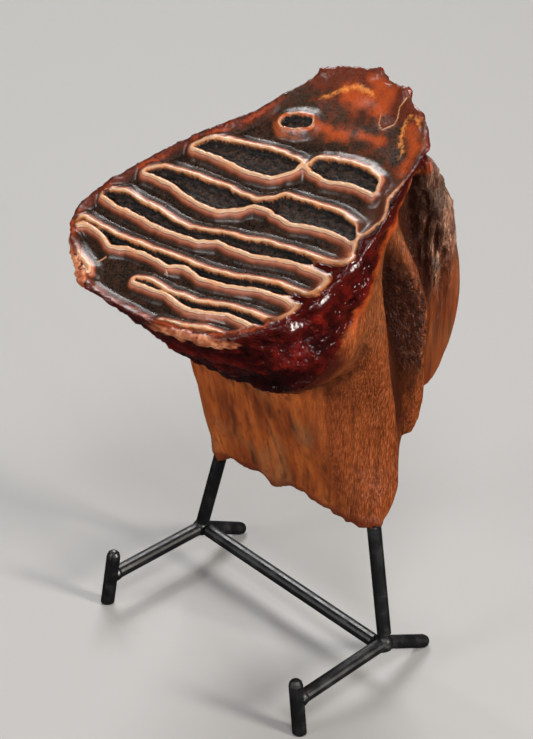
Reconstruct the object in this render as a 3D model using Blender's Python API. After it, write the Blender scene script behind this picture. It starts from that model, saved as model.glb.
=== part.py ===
"""Fossil mammoth molar standing on a welded rod display stand.

Metres, +Z up, front of the stand towards -Y. The chewing surface of the tooth leans forward
and up. The origin lies on the floor under the middle of the whole object.
All the shapes are worked out in millimetres and scaled when they become meshes.
"""
import math

import bmesh
import bpy
import numpy as np
from mathutils import Vector, noise

MM = 0.001
GAP = 0.3                        # left between two pieces that touch

# ---- stand -----------------------------------------------------------------------------------
STAND_AT = (5.8, 10.0)           # middle of the stand, measured from the origin
ROD_R = 2.5
ROD_SIDES = 16
SIDE_X = 46.4                    # the two side frames, from the middle of the stand
CORNER_Z = 13.2                  # height of the welded corners
POST_Y = -44.9
POST_FOOT_X = 48.9
POST_ARM_X = 46.9                # the post leans inward, so it is nearer where the arm meets it
POST_TOP = {"left": 25.2, "right": 21.7}
REAR_FOOT = (46.6, 23.3)
REAR_FOOT_Z = 0.9                # its round end is pressed flat where it meets the floor
BEND, STRAIGHT_IN, STRAIGHT_OUT = 4.0, 12.0, 9.0      # bend of the side rail at the corner
BEND_STEPS = 4
CHAMFER = 0.6                    # on the cut ends of the rods
PIN_CHAMFER = 0.5
SHOULDER_STEP = 0.01             # keeps the shoulder's two rings apart
DOME_ANGLES = (12, 35, 60)       # rings of a rounded end, in degrees
ROD_SMOOTH = 40.0                # shading: edges sharper than this stay sharp
UPRIGHT_LEAN = (0.228, 0.029)    # inward and back, for each unit of height
UPRIGHT_TOP = {"left": 50.3, "right": 57.6}
PIN_R = 1.5                      # thinner end of each upright, up inside the tooth
PIN_LONG = 13.0
BAR_LEFT = (0.2, 13.6)           # y and z of the crossbar's two ends
BAR_RIGHT = (-1.3, 12.0)

# ---- chewing surface: a plane tilted about X, with u along +X and v up the slope ----------------
TILT = math.radians(37.0)
PLANE_AT = Vector((-0.3, -27.0, 170.3))
PLANE_U = Vector((1.0, 0.0, 0.0))
PLANE_V = Vector((0.0, math.cos(TILT), math.sin(TILT)))
PLANE_N = Vector((0.0, -math.sin(TILT), math.cos(TILT)))
VALLEY_DEEP = 2.4                # cement between the plates, worn below the enamel
BASIN_DEEP = 1.7                 # dentine inside each plate
DISH_DEEP = 1.0                  # the whole surface is worn slightly hollow
LIP_HIGH = 0.8
PLATE_BLEND = 0.7                # neighbouring plates melt into each other over this width
BASIN_EDGE = (0.0, 1.5)          # from the edge of a plate inwards
VALLEY_EDGE = (0.6, 4.0)         # from the edge of a plate outwards
WORN_CORNER = (28.0, 40.0)       # up the slope, where the valleys grow shallow
WORN_SHARE = 0.45
DISH_EDGE = (4.0, 30.0)          # from the rim inwards
LIP_EDGE = (0.5, 6.0)
PLATE_SLOPE = 0.12               # the plates run slightly up the slope from left to right

# Worn plates: (u, v, half width) along each one. Neighbours in a group are fused.
PLATES = {
    "islet": ((-12.6, 35.5, 2.5), (-9.3, 36.8, 3.1), (-6, 38, 2.5)),
    "second_outer": ((-37, 14.5, 1.2), (-33, 16.4, 2.8), (-27, 17.8, 3.6), (-20, 18.5, 4.2),
                     (-13, 19.3, 5.0), (-6, 20.6, 4.9), (-1, 22.6, 3.3), (2, 24.6, 1.2)),
    "second_inner": ((5, 25, 1.4), (8, 26.3, 3.4), (13, 26.8, 4.2), (19, 28, 4.0),
                     (25, 28.5, 3.6), (30, 27.8, 3.0), (32.5, 26, 1.5)),
    "third": ((-47.5, -0.5, 1.2), (-42, 1.5, 2.4), (-36, 2, 2.9), (-29, 2, 3.9), (-22, 2, 4.4),
              (-15, 2.6, 4.5), (-9, 4, 3.0), (-3.5, 6.2, 1.3), (1.5, 8, 2.2), (6, 9.2, 4.0),
              (13, 9.6, 4.5), (20, 11, 4.0), (27, 11.6, 3.8), (33, 11.2, 3.2), (36.5, 9.2, 1.8)),
    "fourth": ((-56, -13.6, 1.6), (-50, -12.7, 3.1), (-42, -12.8, 2.6), (-34, -12.7, 2.8),
               (-27, -13.1, 2.4), (-19, -12.6, 2.1), (-14, -11.7, 2.2), (-6.5, -9.1, 1.8),
               (2, -8.2, 2.5), (9, -6.7, 2.9), (17, -5, 2.5), (25, -3.6, 2.2), (33, -3.4, 2.4),
               (41, -2.6, 2.8)),
    "fifth": ((-57, -25, 1.0), (-51, -25, 0.9), (-46, -25.5, 1.5), (-41, -26.3, 2.4),
              (-35, -25, 1.6), (-27, -24.2, 1.5), (-17, -23.5, 2.0), (-11, -22, 1.2),
              (-3.5, -22.3, 1.9), (3, -21.3, 2.0), (11, -19.4, 2.1), (17, -17.4, 1.9),
              (24, -16.2, 2.1), (30, -15.8, 2.0), (40, -15, 2.6)),
    "sixth": ((-23, -34.6, 1.0), (-19, -33.7, 1.5), (-14, -33.6, 1.2), (-9.5, -33.3, 0.6),
              (-4, -33.2, 1.7), (2, -33.0, 1.8), (8, -31.2, 1.9), (15, -28.9, 1.6),
              (22, -28.1, 1.9), (28, -27.9, 2.2), (33, -27.5, 2.6)),
    "seventh": ((-4, -43.5, 1.4), (4, -42.2, 2.0), (12, -40.0, 2.6), (20, -38.8, 2.4),
                (27, -34.5, 2.4), (31, -30.5, 2.2)),
    "inner_edge": ((41, 33, 1.8), (41.2, 26.4, 2.6), (44, 22.2, 2.6), (44.6, 18, 2.6),
                   (42.5, 12, 2.6), (41.3, 9.5, 2.6), (43, 4, 1.8), (42.5, -3, 2.4),
                   (41, -13, 2.4), (36.5, -22, 2.3), (31.5, -29.5, 2.0)),
    "outer_edge": ((-57.5, -26, 0.9), (-60.5, -30, 1.3), (-56, -34.6, 1.3), (-49, -37.4, 1.4),
                   (-42, -39.4, 1.2)),
}

# ---- body of the tooth: closed outlines, each with one point on each of 18 lines that run down --
# RIM is in (u, v) on the chewing surface, the others in (x, y, z).
RIM = ((-62.5, -24), (-54, -36.5), (-39.5, -44.5), (-18, -45.5), (2, -44.5), (18, -40),
       (31, -29.5), (39.5, -14), (43.2, 2.5), (43, 18.5), (40.5, 33), (38.8, 48.5), (26, 58.5),
       (5.5, 63.8), (-13, 56), (-26.5, 33), (-43.5, 14.5), (-58, -8.5))
CHIN = ((-57, -38, 146), (-48, -47, 139.5), (-33, -49.5, 133.5), (-15, -44.5, 123.5), (1, -42, 122),
        (17, -41, 122.5), (30, -39, 125), (38, -28, 131), (39.5, -17, 148), (38.5, -9, 162),
        (38, -2, 179), (34, 9, 187), (27, 20, 193), (7, 27, 196), (-13, 22, 191),
        (-27, 8, 180), (-44, -12, 163), (-57, -26, 153))
NECK = ((-44, -15, 113), (-42, -19, 109), (-34, -20, 107), (-18, -20, 106), (-2, -20, 107),
        (6, -20.5, 109), (15, -19, 112), (28, -11.5, 118), (37, -7, 129), (38.3, -3, 141),
        (28, 3, 150), (28, 12, 160), (25, 21, 168), (8, 26, 172), (-14, 23, 168),
        (-28, 17, 160), (-40, 6, 146), (-46, -6, 128))
SHANK = ((-42, -7.5, 85), (-39, -11.5, 84), (-30, -12.5, 84), (-17, -12, 85), (-4, -11.5, 86),
         (8, -11, 86), (20, -10.5, 87), (30.5, -3.5, 88), (37, 4, 89), (38, 8, 90),
         (34, 12.5, 92), (31, 18, 94), (20, 20, 94), (6, 19, 92), (-12, 18, 88),
         (-26, 15, 87), (-37, 9, 85), (-42, 0, 84))
LOWER = ((-41, -1.5, 64), (-38.5, -5.5, 63), (-29, -6.5, 64), (-16, -6, 65), (-3, -5.5, 66),
         (9, -5, 67), (21, -5, 68), (32, -4.5, 68), (38.5, 1.5, 69), (39.5, 7.5, 71),
         (37, 12, 73), (31, 14, 73), (20, 14, 72), (6, 13.5, 70), (-10, 12.5, 68),
         (-24, 11.5, 66), (-35.5, 8, 65), (-40.2, 3.5, 64))
END = ((-40.4, 1.2, 51.6), (-36.8, -2.9, 52), (-28, -3.2, 54), (-17, -3, 52.6), (-5, -3, 53.7),
       (8, -3, 56), (18.5, -3.2, 55.2), (30.5, -4.2, 56.8), (38.6, -0.8, 59.6), (39.4, 5, 64),
       (36.5, 9, 67.5), (30, 9.5, 66), (19, 9, 62), (6, 8.5, 59), (-9, 8, 57),
       (-22, 7.5, 55.5), (-34, 6.5, 53.5), (-39.4, 4.4, 52.2))
LUMP_WIDE, LUMP_HIGH = 11.0, 2.4          # the coat's lumps
PIMPLE_WIDE, PIMPLE_HIGH = 5.0, 0.8
FLUTE_WIDE, FLUTE_LONG, FLUTE_HIGH = 5.5, 60.0, 1.3
COAT_ROWS = (1.5, 2.6)           # counted in outlines from the first
ROOT_ROW, HEM_ROW = 2.8, 5.0
CHIP_WIDE, CHIP_HIGH = 0.37, 2.2          # the broken lower edge
CHIP_PLACE = 3.1                 # any value: it only picks which chips come out
TOOTH_SMOOTH = 35.0
AROUND = 4                       # points between two lines of the outlines
DOWN = (1, 5, 4, 4, 3, 3)        # steps between one outline and the next
TOP_SPARE = 7.0                  # cut away again to leave the relief of the chewing surface
CUT_CLEAR = 6.0                  # the cutter reaches this far above it
CUT_ALONG = (-72.0, 52.0, 32)    # from, to and number of the relief's points
CUT_UP = ((-66.0, -46.0, 4), (-43.0, 42.5, 59), (46.0, 82.0, 10))

# ---- two root lobes that hang behind: (x, y, z), half size across, half size along the tooth ----
INNER_LOBE = (((30, -1, 184), 5.0, 3.5), ((30, 0, 172), 6.4, 5.5), ((30, 5, 160), 7.8, 7.5),
              ((30, 10, 149), 8.8, 9.0), ((30, 12.5, 139), 9.2, 9.0), ((30, 13, 128), 9.0, 8.5),
              ((30, 14, 116), 8.4, 8.0), ((31, 16.5, 103), 6.6, 6.4),
              ((33, 17.5, 94), 4.2, 4.4), ((34.5, 17.5, 87.0), 1.5, 1.5))
OUTER_LOBE = (((26, 9, 197), 6.5, 5.5), ((26.5, 17, 186), 8.4, 8.0), ((26.5, 25, 172), 9.4, 9.4),
              ((26.5, 29, 158), 9.6, 10.0), ((27, 31.5, 146), 9.2, 10.0), ((27.5, 32.5, 135), 8.4, 9.8),
              ((28, 32, 124), 7.4, 8.6), ((29, 30, 114), 6.0, 6.6),
              ((30, 28.5, 106), 4.4, 4.6), ((31.2, 27, 99.5), 1.6, 1.6))
APEX_REACH = 0.35                # the section's point towards +X
APEX_NARROW = 0.45
LOBE_SIDES = 20
LOBE_STEPS = 3
LOBE_FLUTES, LOBE_FLUTE_DEEP, LOBE_TWIST = 3.0, 0.05, 17.0     # shallow flutes that wind down it

SOCKET_R = PIN_R + GAP
SOCKET_SIDES = 16
SOCKET_BELOW = 8.0               # the socket's cutter starts this far below the tooth


# ---- small helpers ---------------------------------------------------------------------------
def clear_scene():
    for obj in list(bpy.data.objects):
        bpy.data.objects.remove(obj, do_unlink=True)


def material(name, colour, rough, metallic=0.0):
    mat = bpy.data.materials.new(name)
    mat.use_nodes = True
    bsdf = mat.node_tree.nodes["Principled BSDF"]
    bsdf.inputs["Base Color"].default_value = (*colour, 1.0)
    bsdf.inputs["Roughness"].default_value = rough
    bsdf.inputs["Metallic"].default_value = metallic
    return mat


def finish(name, bm, mat=None, smooth_angle=ROD_SMOOTH):
    """Scale to metres, move to the object's own frame and link."""
    shift = Vector((STAND_AT[0], STAND_AT[1], 0.0))
    for vert in bm.verts:
        vert.co = (vert.co + shift) * MM
    bmesh.ops.recalc_face_normals(bm, faces=bm.faces)
    mesh = bpy.data.meshes.new(name)
    bm.to_mesh(mesh)
    bm.free()
    mesh.shade_smooth()
    mesh.set_sharp_from_angle(angle=math.radians(smooth_angle))
    obj = bpy.data.objects.new(name, mesh)
    bpy.context.scene.collection.objects.link(obj)
    if mat is not None:
        mesh.materials.append(mat)
    return obj


def cutter(name, bm):
    obj = finish(name, bm)
    obj.hide_render = True
    obj.display_type = "WIRE"
    return obj


def boolean(obj, other, operation, solver="EXACT"):
    mod = obj.modifiers.new(other.name, "BOOLEAN")
    mod.operation = operation
    mod.solver = solver
    mod.object = other


def spline(rows, t, closed):
    """Catmull-Rom through rows of points, read at t counted in rows."""
    rows = np.asarray(rows, float)
    count = len(rows)
    i = np.floor(t).astype(int)
    if not closed:
        i = np.clip(i, 0, count - 2)
    f = (t - i)[:, None]
    pick = (lambda k: rows[k % count]) if closed else (lambda k: rows[np.clip(k, 0, count - 1)])
    a, b, c, d = pick(i - 1), pick(i), pick(i + 1), pick(i + 2)
    return 0.5 * (2 * b + (c - a) * f + (2 * a - 5 * b + 4 * c - d) * f ** 2
                  + (3 * b - a - 3 * c + d) * f ** 3)


def skin(bm, rings):
    """Close a stack of equal rings into one solid, each end fanned to its middle."""
    loops = [[bm.verts.new(p) for p in ring] for ring in rings]
    count = len(loops[0])
    for upper, lower in zip(loops, loops[1:]):
        for k in range(count):
            bm.faces.new((upper[k], upper[(k + 1) % count], lower[(k + 1) % count], lower[k]))
    for loop in (loops[0], loops[-1]):
        middle = bm.verts.new(sum((v.co for v in loop), Vector()) / count)
        for k in range(count):
            bm.faces.new((loop[k], loop[(k + 1) % count], middle))
    return loops


# ---- chewing surface -------------------------------------------------------------------------
def smoothstep(low, high, x):
    t = np.clip((x - low) / (high - low), 0.0, 1.0)
    return t * t * (3 - 2 * t)


def chain_depth(u, v, chain):
    """How far inside a chain of round blobs a point lies; negative outside."""
    best = np.full(u.shape, -1e3)
    for (u0, v0, r0), (u1, v1, r1) in zip(chain, chain[1:]):
        du, dv = u1 - u0, v1 - v0
        t = np.clip(((u - u0) * du + (v - v0) * dv) / (du * du + dv * dv), 0.0, 1.0)
        away = np.hypot(u - u0 - t * du, v - v0 - t * dv)
        best = np.maximum(best, r0 + t * (r1 - r0) - away)
    return best


def plate_depth(u, v):
    total = np.zeros(u.shape)
    for chain in PLATES.values():
        total = total + np.exp(np.clip(chain_depth(u, v, chain), -30.0, 8.0) / PLATE_BLEND)
    return PLATE_BLEND * np.log(total + 1e-30)


def outline_depth(u, v):
    """How far inside the rim a point lies; negative outside."""
    rim = spline(RIM, np.arange(len(RIM) * AROUND) / AROUND, True)
    nearest = np.full(u.shape, 1e3)
    crossings = np.zeros(u.shape, int)
    for (u0, v0), (u1, v1) in zip(rim, np.roll(rim, -1, axis=0)):
        du, dv = u1 - u0, v1 - v0
        t = np.clip(((u - u0) * du + (v - v0) * dv) / (du * du + dv * dv), 0.0, 1.0)
        nearest = np.minimum(nearest, np.hypot(u - u0 - t * du, v - v0 - t * dv))
        spans = (v0 > v) != (v1 > v)
        side = u < u0 + (v - v0) * du / (dv if abs(dv) > 1e-9 else 1e-9)
        crossings += (spans & side).astype(int)
    return np.where(crossings % 2 == 1, nearest, -nearest)


def relief(u, v):
    """Height of the worn surface over its plane."""
    depth = plate_depth(u, v)
    inside = outline_depth(u, v)
    height = -BASIN_DEEP * smoothstep(*BASIN_EDGE, depth)
    shallow = 1 - WORN_SHARE * smoothstep(*WORN_CORNER, v)
    height -= VALLEY_DEEP * smoothstep(*VALLEY_EDGE, -depth) * shallow
    height -= DISH_DEEP * smoothstep(*DISH_EDGE, inside)
    edge = 1 - smoothstep(*LIP_EDGE, inside)
    return height * (1 - edge) + LIP_HIGH * edge


def chewing_cutter():
    """Everything above the worn surface, as one solid with the relief on its underside."""
    us = np.linspace(*CUT_ALONG)
    vs = np.concatenate([np.linspace(*rows) for rows in CUT_UP])
    uu, vv = np.meshgrid(us, vs)
    vv = vv + PLATE_SLOPE * uu
    hh = relief(uu, vv)
    bm = bmesh.new()
    bmesh.ops.create_grid(bm, x_segments=len(us) - 1, y_segments=len(vs) - 1, size=1.0)
    bm.verts.ensure_lookup_table()
    # the grid's points run along X first
    for vert, u, v, h in zip(bm.verts, uu.ravel(), vv.ravel(), hh.ravel()):
        vert.co = PLANE_AT + PLANE_U * float(u) + PLANE_V * float(v) + PLANE_N * float(h)
    rim_edges = [e for e in bm.edges if e.is_boundary]
    lifted = bmesh.ops.extrude_edge_only(bm, edges=rim_edges)["geom"]
    top = [g for g in lifted if isinstance(g, bmesh.types.BMVert)]
    for vert in top:
        over = (vert.co - PLANE_AT).dot(PLANE_N)
        vert.co += PLANE_N * (TOP_SPARE + CUT_CLEAR - over)
    bmesh.ops.contextual_create(bm, geom=[e for e in bm.edges if e.is_boundary])
    return cutter("chewing_cutter", bm)


# ---- tooth -----------------------------------------------------------------------------------
def tooth_rings():
    rim = [PLANE_AT + PLANE_U * u + PLANE_V * v for u, v in RIM]
    spare = [p + PLANE_N * TOP_SPARE for p in rim]
    lines = [spare, rim, CHIN, NECK, SHANK, LOWER, END]
    table = np.array([[tuple(p) for p in line] for line in lines], float)
    around = np.arange(table.shape[1] * AROUND) / AROUND
    wide = np.stack([spline(row, around, True) for row in table])
    rows = np.concatenate([[0.0]] + [k + (np.arange(n) + 1) / n for k, n in enumerate(DOWN)])
    return rows, np.stack([spline(wide[:, k], rows, False) for k in range(wide.shape[1])], axis=1)


def roughen(rows, rings):
    """Lumps on the crown's coat, flutes down the root, a broken lower edge."""
    out = []
    centre = rings.mean(axis=1)
    for row, ring, mid in zip(rows, rings, centre):
        line = []
        for k, p in enumerate(ring):
            out_dir = Vector(p - mid)
            out_dir.z = 0.0
            out_dir.normalize()
            at = Vector(p)
            lump = LUMP_HIGH * noise.noise(at / LUMP_WIDE)
            lump += PIMPLE_HIGH * noise.noise(at / PIMPLE_WIDE)
            grain = Vector((p[0] / FLUTE_WIDE, p[1] / FLUTE_WIDE, p[2] / FLUTE_LONG))
            flute = FLUTE_HIGH * noise.noise(grain)
            crown = 1.0 if COAT_ROWS[0] <= row <= COAT_ROWS[1] else 0.0
            root = min(max(row - ROOT_ROW, 0.0), 1.0)
            hem = max(row - HEM_ROW, 0.0)
            move = out_dir * (lump * crown + flute * root)
            move.z += hem * CHIP_HIGH * noise.noise(Vector((k * CHIP_WIDE, CHIP_PLACE, 0.0)))
            line.append(at + move)
        out.append(line)
    return out


def lobe(name, spec):
    """A fin-shaped root lobe: its section is broad against the tooth and narrows to an edge."""
    table = np.array([(*centre, across, along) for centre, across, along in spec], float)
    t = np.linspace(0, len(spec) - 1, (len(spec) - 1) * LOBE_STEPS + 1)
    rings = []
    for x, y, z, across, along in spline(table, t, False):
        ring = []
        for k in range(LOBE_SIDES):
            a = 2 * math.pi * k / LOBE_SIDES
            flute = 1.0 + LOBE_FLUTE_DEEP * math.sin(LOBE_FLUTES * a + z / LOBE_TWIST)
            ring.append(Vector((x + across * flute * math.cos(a) * (1 + APEX_REACH * math.cos(a)),
                                y + along * flute * math.sin(a) * (1 - APEX_NARROW * math.cos(a)),
                                z)))
        rings.append(ring)
    bm = bmesh.new()
    skin(bm, rings)
    return cutter(name, bm)


def upright_axis(side, height):
    """Middle of one upright at a height over the floor."""
    sign = -1.0 if side == "left" else 1.0
    rise = height - CORNER_Z
    return Vector((sign * (SIDE_X - UPRIGHT_LEAN[0] * rise), UPRIGHT_LEAN[1] * rise, height))


def tube(path, radius, sides=ROD_SIDES):
    """Rings of a rod along a path, each square to its neighbours."""
    rings = []
    for k, p in enumerate(path):
        ahead = path[min(k + 1, len(path) - 1)] - path[max(k - 1, 0)]
        axis = ahead.normalized()
        first = axis.cross(Vector((1.0, 0.0, 0.0)) if abs(axis.x) < 0.8 else Vector((0, 1, 0)))
        first.normalize()
        second = axis.cross(first)
        r = radius[k] if isinstance(radius, list) else radius
        rings.append([p + first * r * math.cos(2 * math.pi * j / sides)
                      + second * r * math.sin(2 * math.pi * j / sides) for j in range(sides)])
    return rings


def build_tooth(mat):
    rows, rings = tooth_rings()
    bm = bmesh.new()
    skin(bm, roughen(rows, rings))
    tooth = finish("tooth", bm, mat, TOOTH_SMOOTH)
    boolean(tooth, lobe("inner_lobe_form", INNER_LOBE), "UNION", "MANIFOLD")
    boolean(tooth, lobe("outer_lobe_form", OUTER_LOBE), "UNION", "MANIFOLD")
    boolean(tooth, chewing_cutter(), "DIFFERENCE")
    for side in ("left", "right"):
        bottom = upright_axis(side, UPRIGHT_TOP[side] - SOCKET_BELOW)
        top = upright_axis(side, UPRIGHT_TOP[side] + PIN_LONG)
        hole = bmesh.new()
        skin(hole, tube([bottom, top], SOCKET_R, SOCKET_SIDES))
        boolean(tooth, cutter(side + "_socket_form", hole), "DIFFERENCE")
    return tooth


# ---- stand -----------------------------------------------------------------------------------
def domed(path, dome_start, dome_end, chamfer=CHAMFER):
    """Path and radii with a half-round or a chamfered flat end at each end."""
    points, radii = [], []
    start_dir = (path[1] - path[0]).normalized()
    end_dir = (path[-1] - path[-2]).normalized()
    angles = [math.radians(a) for a in DOME_ANGLES]
    if dome_start:
        for a in angles:
            points.append(path[0] + start_dir * ROD_R * (1 - math.cos(a)))
            radii.append(ROD_R * math.sin(a))
        points.append(path[0] + start_dir * ROD_R)
        radii.append(ROD_R)
    else:
        points += [path[0], path[0] + start_dir * chamfer]
        radii += [ROD_R - chamfer, ROD_R]
    points += path[1:-1]
    radii += [ROD_R] * len(path[1:-1])
    if dome_end:
        points.append(path[-1] - end_dir * ROD_R)
        radii.append(ROD_R)
        for a in reversed(angles):
            points.append(path[-1] - end_dir * ROD_R * (1 - math.cos(a)))
            radii.append(ROD_R * math.sin(a))
    else:
        points += [path[-1] - end_dir * chamfer, path[-1]]
        radii += [ROD_R, ROD_R - chamfer]
    return points, radii


def rod(name, path, mat, dome_start=False, dome_end=False, on_floor=False):
    points, radii = domed(path, dome_start, dome_end)
    rings = tube(points, radii)
    if on_floor:
        rings = [[Vector((p.x, p.y, max(p.z, 0.0))) for p in ring] for ring in rings]
    bm = bmesh.new()
    skin(bm, rings)
    return finish(name, bm, mat)


def post(side, mat):
    """Leaning front post: flat foot on the floor, domed top."""
    sign = -1.0 if side == "left" else 1.0
    lean = (POST_FOOT_X - POST_ARM_X) / CORNER_Z
    height = POST_TOP[side]
    foot = Vector((sign * POST_FOOT_X, POST_Y, 0.0))
    top = Vector((sign * (POST_FOOT_X - lean * height), POST_Y, height))
    path = [foot, top]
    points, radii = domed(path, False, True)
    rings = tube(points, radii)
    # the foot is cut level, so its first two rings follow the floor
    for ring, level in zip(rings[:2], (0.0, CHAMFER)):
        for k, p in enumerate(ring):
            slide = (level - p.z) / (top.z - foot.z)
            ring[k] = Vector((p.x + (top.x - foot.x) * slide, p.y, level))
    bm = bmesh.new()
    skin(bm, rings)
    return finish(side + "_post", bm, mat)


def rail(side, mat):
    """Side rail: level from the post to the corner, then down to a rounded rear foot."""
    sign = -1.0 if side == "left" else 1.0
    start = Vector((sign * POST_ARM_X, POST_Y + ROD_R + GAP, CORNER_Z))
    corner = Vector((sign * SIDE_X, 0.0, CORNER_Z))
    end = Vector((sign * REAR_FOOT[0], REAR_FOOT[1], REAR_FOOT_Z))
    into = (corner - start).normalized()
    away = (end - corner).normalized()
    path = [start, corner - into * STRAIGHT_IN]
    for k in range(BEND_STEPS + 1):
        t = k / BEND_STEPS
        a, b = corner - into * BEND, corner + away * BEND
        path.append(a * (1 - t) ** 2 + corner * 2 * t * (1 - t) + b * t ** 2)
    path += [corner + away * STRAIGHT_OUT, end]
    return rod(side + "_rail", path, mat, dome_end=True, on_floor=True)


def upright(side, mat):
    """Rod from the welded corner up to the tooth, with a thinner pin on top."""
    low = upright_axis(side, CORNER_Z)
    direction = (upright_axis(side, CORNER_Z + 1.0) - low).normalized()
    start = low + direction * (ROD_R + GAP)
    shoulder = upright_axis(side, UPRIGHT_TOP[side])
    stop = upright_axis(side, UPRIGHT_TOP[side] + PIN_LONG) - direction * GAP
    points, radii = domed([start, shoulder], False, False)
    points += [shoulder + direction * SHOULDER_STEP, stop - direction * PIN_CHAMFER, stop]
    radii += [PIN_R, PIN_R, PIN_R - PIN_CHAMFER]
    bm = bmesh.new()
    skin(bm, tube(points, radii))
    return finish(side + "_upright", bm, mat)


def crossbar(mat):
    inset = SIDE_X - ROD_R - 3 * GAP
    path = [Vector((-inset, *BAR_LEFT)), Vector((inset, *BAR_RIGHT))]
    return rod("crossbar", path, mat)


clear_scene()
fossil = material("fossil_tooth", (0.36, 0.13, 0.045), 0.45)
black = material("black_paint", (0.012, 0.012, 0.013), 0.42)
build_tooth(fossil)
for which in ("left", "right"):
    post(which, black)
    rail(which, black)
    upright(which, black)
crossbar(black)
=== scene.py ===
# %% [markdown]
# # A fossil mammoth tooth on a rod stand
# The real object is one cheek tooth of a mammoth, soaked in a dark resin-like mineral, held up by
# two thin rods of a small black stand. The solid model of the part gives every main form. This
# lesson starts from those solids, gives the tooth a fine skin, sculpts the worn chewing face, the
# coat of the crown and the grain of the root, and then paints them all by rules.

# %% Load the solid model as a fixed frame
import math

import bmesh
import bpy
import numpy as np
from mathutils import Matrix, Vector, noise


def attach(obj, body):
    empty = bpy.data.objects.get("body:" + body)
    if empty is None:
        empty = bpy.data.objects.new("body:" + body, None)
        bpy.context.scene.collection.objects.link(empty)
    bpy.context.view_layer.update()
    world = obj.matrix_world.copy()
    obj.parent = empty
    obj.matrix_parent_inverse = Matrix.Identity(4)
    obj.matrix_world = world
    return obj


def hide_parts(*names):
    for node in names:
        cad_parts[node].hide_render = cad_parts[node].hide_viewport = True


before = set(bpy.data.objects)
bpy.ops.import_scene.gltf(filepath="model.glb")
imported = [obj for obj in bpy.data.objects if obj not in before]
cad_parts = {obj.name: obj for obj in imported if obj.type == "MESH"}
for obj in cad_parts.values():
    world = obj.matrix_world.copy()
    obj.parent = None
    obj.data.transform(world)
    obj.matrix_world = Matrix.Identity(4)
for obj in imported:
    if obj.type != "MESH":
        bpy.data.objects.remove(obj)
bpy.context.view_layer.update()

MM = 0.001
print("solids:", sorted(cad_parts))

# %% [markdown]
# ## The view and the studio
# The camera comes first, because every later choice is judged through it. Its place and turn
# are written as numbers that were worked out from the straight rods of the stand. The studio is
# plain: a pale floor that rises behind the object, and large soft lamps, which is what shows a
# glossy dark thing best, because a lamp's size decides how wide its highlight is.

# %% Camera
def into_scene(name, data):
    """A new object at the origin of the scene."""
    obj = bpy.data.objects.new(name, data)
    bpy.context.scene.collection.objects.link(obj)
    return obj


CAMERA_AT = Vector((0.408192, -0.432258, 0.470530))
CAMERA_RIGHT = Vector((0.711013, 0.702302, 0.035108))
CAMERA_UP = Vector((-0.389283, 0.351550, 0.851394))
CAMERA_BACK = Vector((0.585594, -0.619019, 0.523350))
LENS_MM = 100.4585
SENSOR_MM = 36.0
NEAR_LIMIT = 0.01  # metres

lens = bpy.data.cameras.new("view")
lens.lens = LENS_MM
lens.sensor_width = SENSOR_MM
lens.clip_start = NEAR_LIMIT
camera = into_scene("view", lens)
turn = Matrix((CAMERA_RIGHT, CAMERA_UP, CAMERA_BACK)).transposed()
camera.matrix_world = Matrix.Translation(CAMERA_AT) @ turn.to_4x4()
bpy.context.scene.camera = camera
bpy.context.scene.view_settings.view_transform = "Standard"
print("camera looks from", CAMERA_AT)

# %% Pale paint of the floor
FLOOR_NEAR = (0.29, 0.285, 0.28, 1.0)
FLOOR_FAR = (0.56, 0.555, 0.55, 1.0)
FADE_FROM = 0.7  # metres out from the object
FADE_TO = 2.4
FLOOR_ROUGH = 0.8


def pale_paint():
    """Pale grey, lighter far out, where less light falls."""
    mat = bpy.data.materials.new("pale_floor")
    mat.use_nodes = True
    nodes, links = mat.node_tree.nodes, mat.node_tree.links
    coords = nodes.new("ShaderNodeTexCoord")
    length = nodes.new("ShaderNodeVectorMath")
    length.operation = "LENGTH"
    far_out = nodes.new("ShaderNodeMapRange")
    far_out.interpolation_type = "SMOOTHSTEP"
    far_out.inputs["From Min"].default_value = FADE_FROM
    far_out.inputs["From Max"].default_value = FADE_TO
    paint = nodes.new("ShaderNodeMix")
    paint.data_type = "RGBA"
    paint.inputs[6].default_value = FLOOR_NEAR
    paint.inputs[7].default_value = FLOOR_FAR
    links.new(coords.outputs["Object"], length.inputs[0])
    links.new(length.outputs["Value"], far_out.inputs["Value"])
    links.new(far_out.outputs[0], paint.inputs[0])
    shader = nodes["Principled BSDF"]
    links.new(paint.outputs[2], shader.inputs["Base Color"])
    shader.inputs["Roughness"].default_value = FLOOR_ROUGH
    return mat


print("floor fades from", FLOOR_NEAR[:3], "to", FLOOR_FAR[:3])

# %% A round floor that curves up into a wall
FLOOR_RADIUS = 1.9
WALL_RADIUS = 2.5
WALL_HIGH = 2.6
CURVE_STEPS = 6
ROUND_STEPS = 96
SAME_POINT = 1e-5  # metres


def smooth_object(bm, name, material):
    """The finished bmesh as a smooth object of one material."""
    mesh = bpy.data.meshes.new(name)
    bm.to_mesh(mesh)
    bm.free()
    mesh.shade_smooth()
    mesh.materials.append(material)
    return into_scene(name, mesh)


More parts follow.
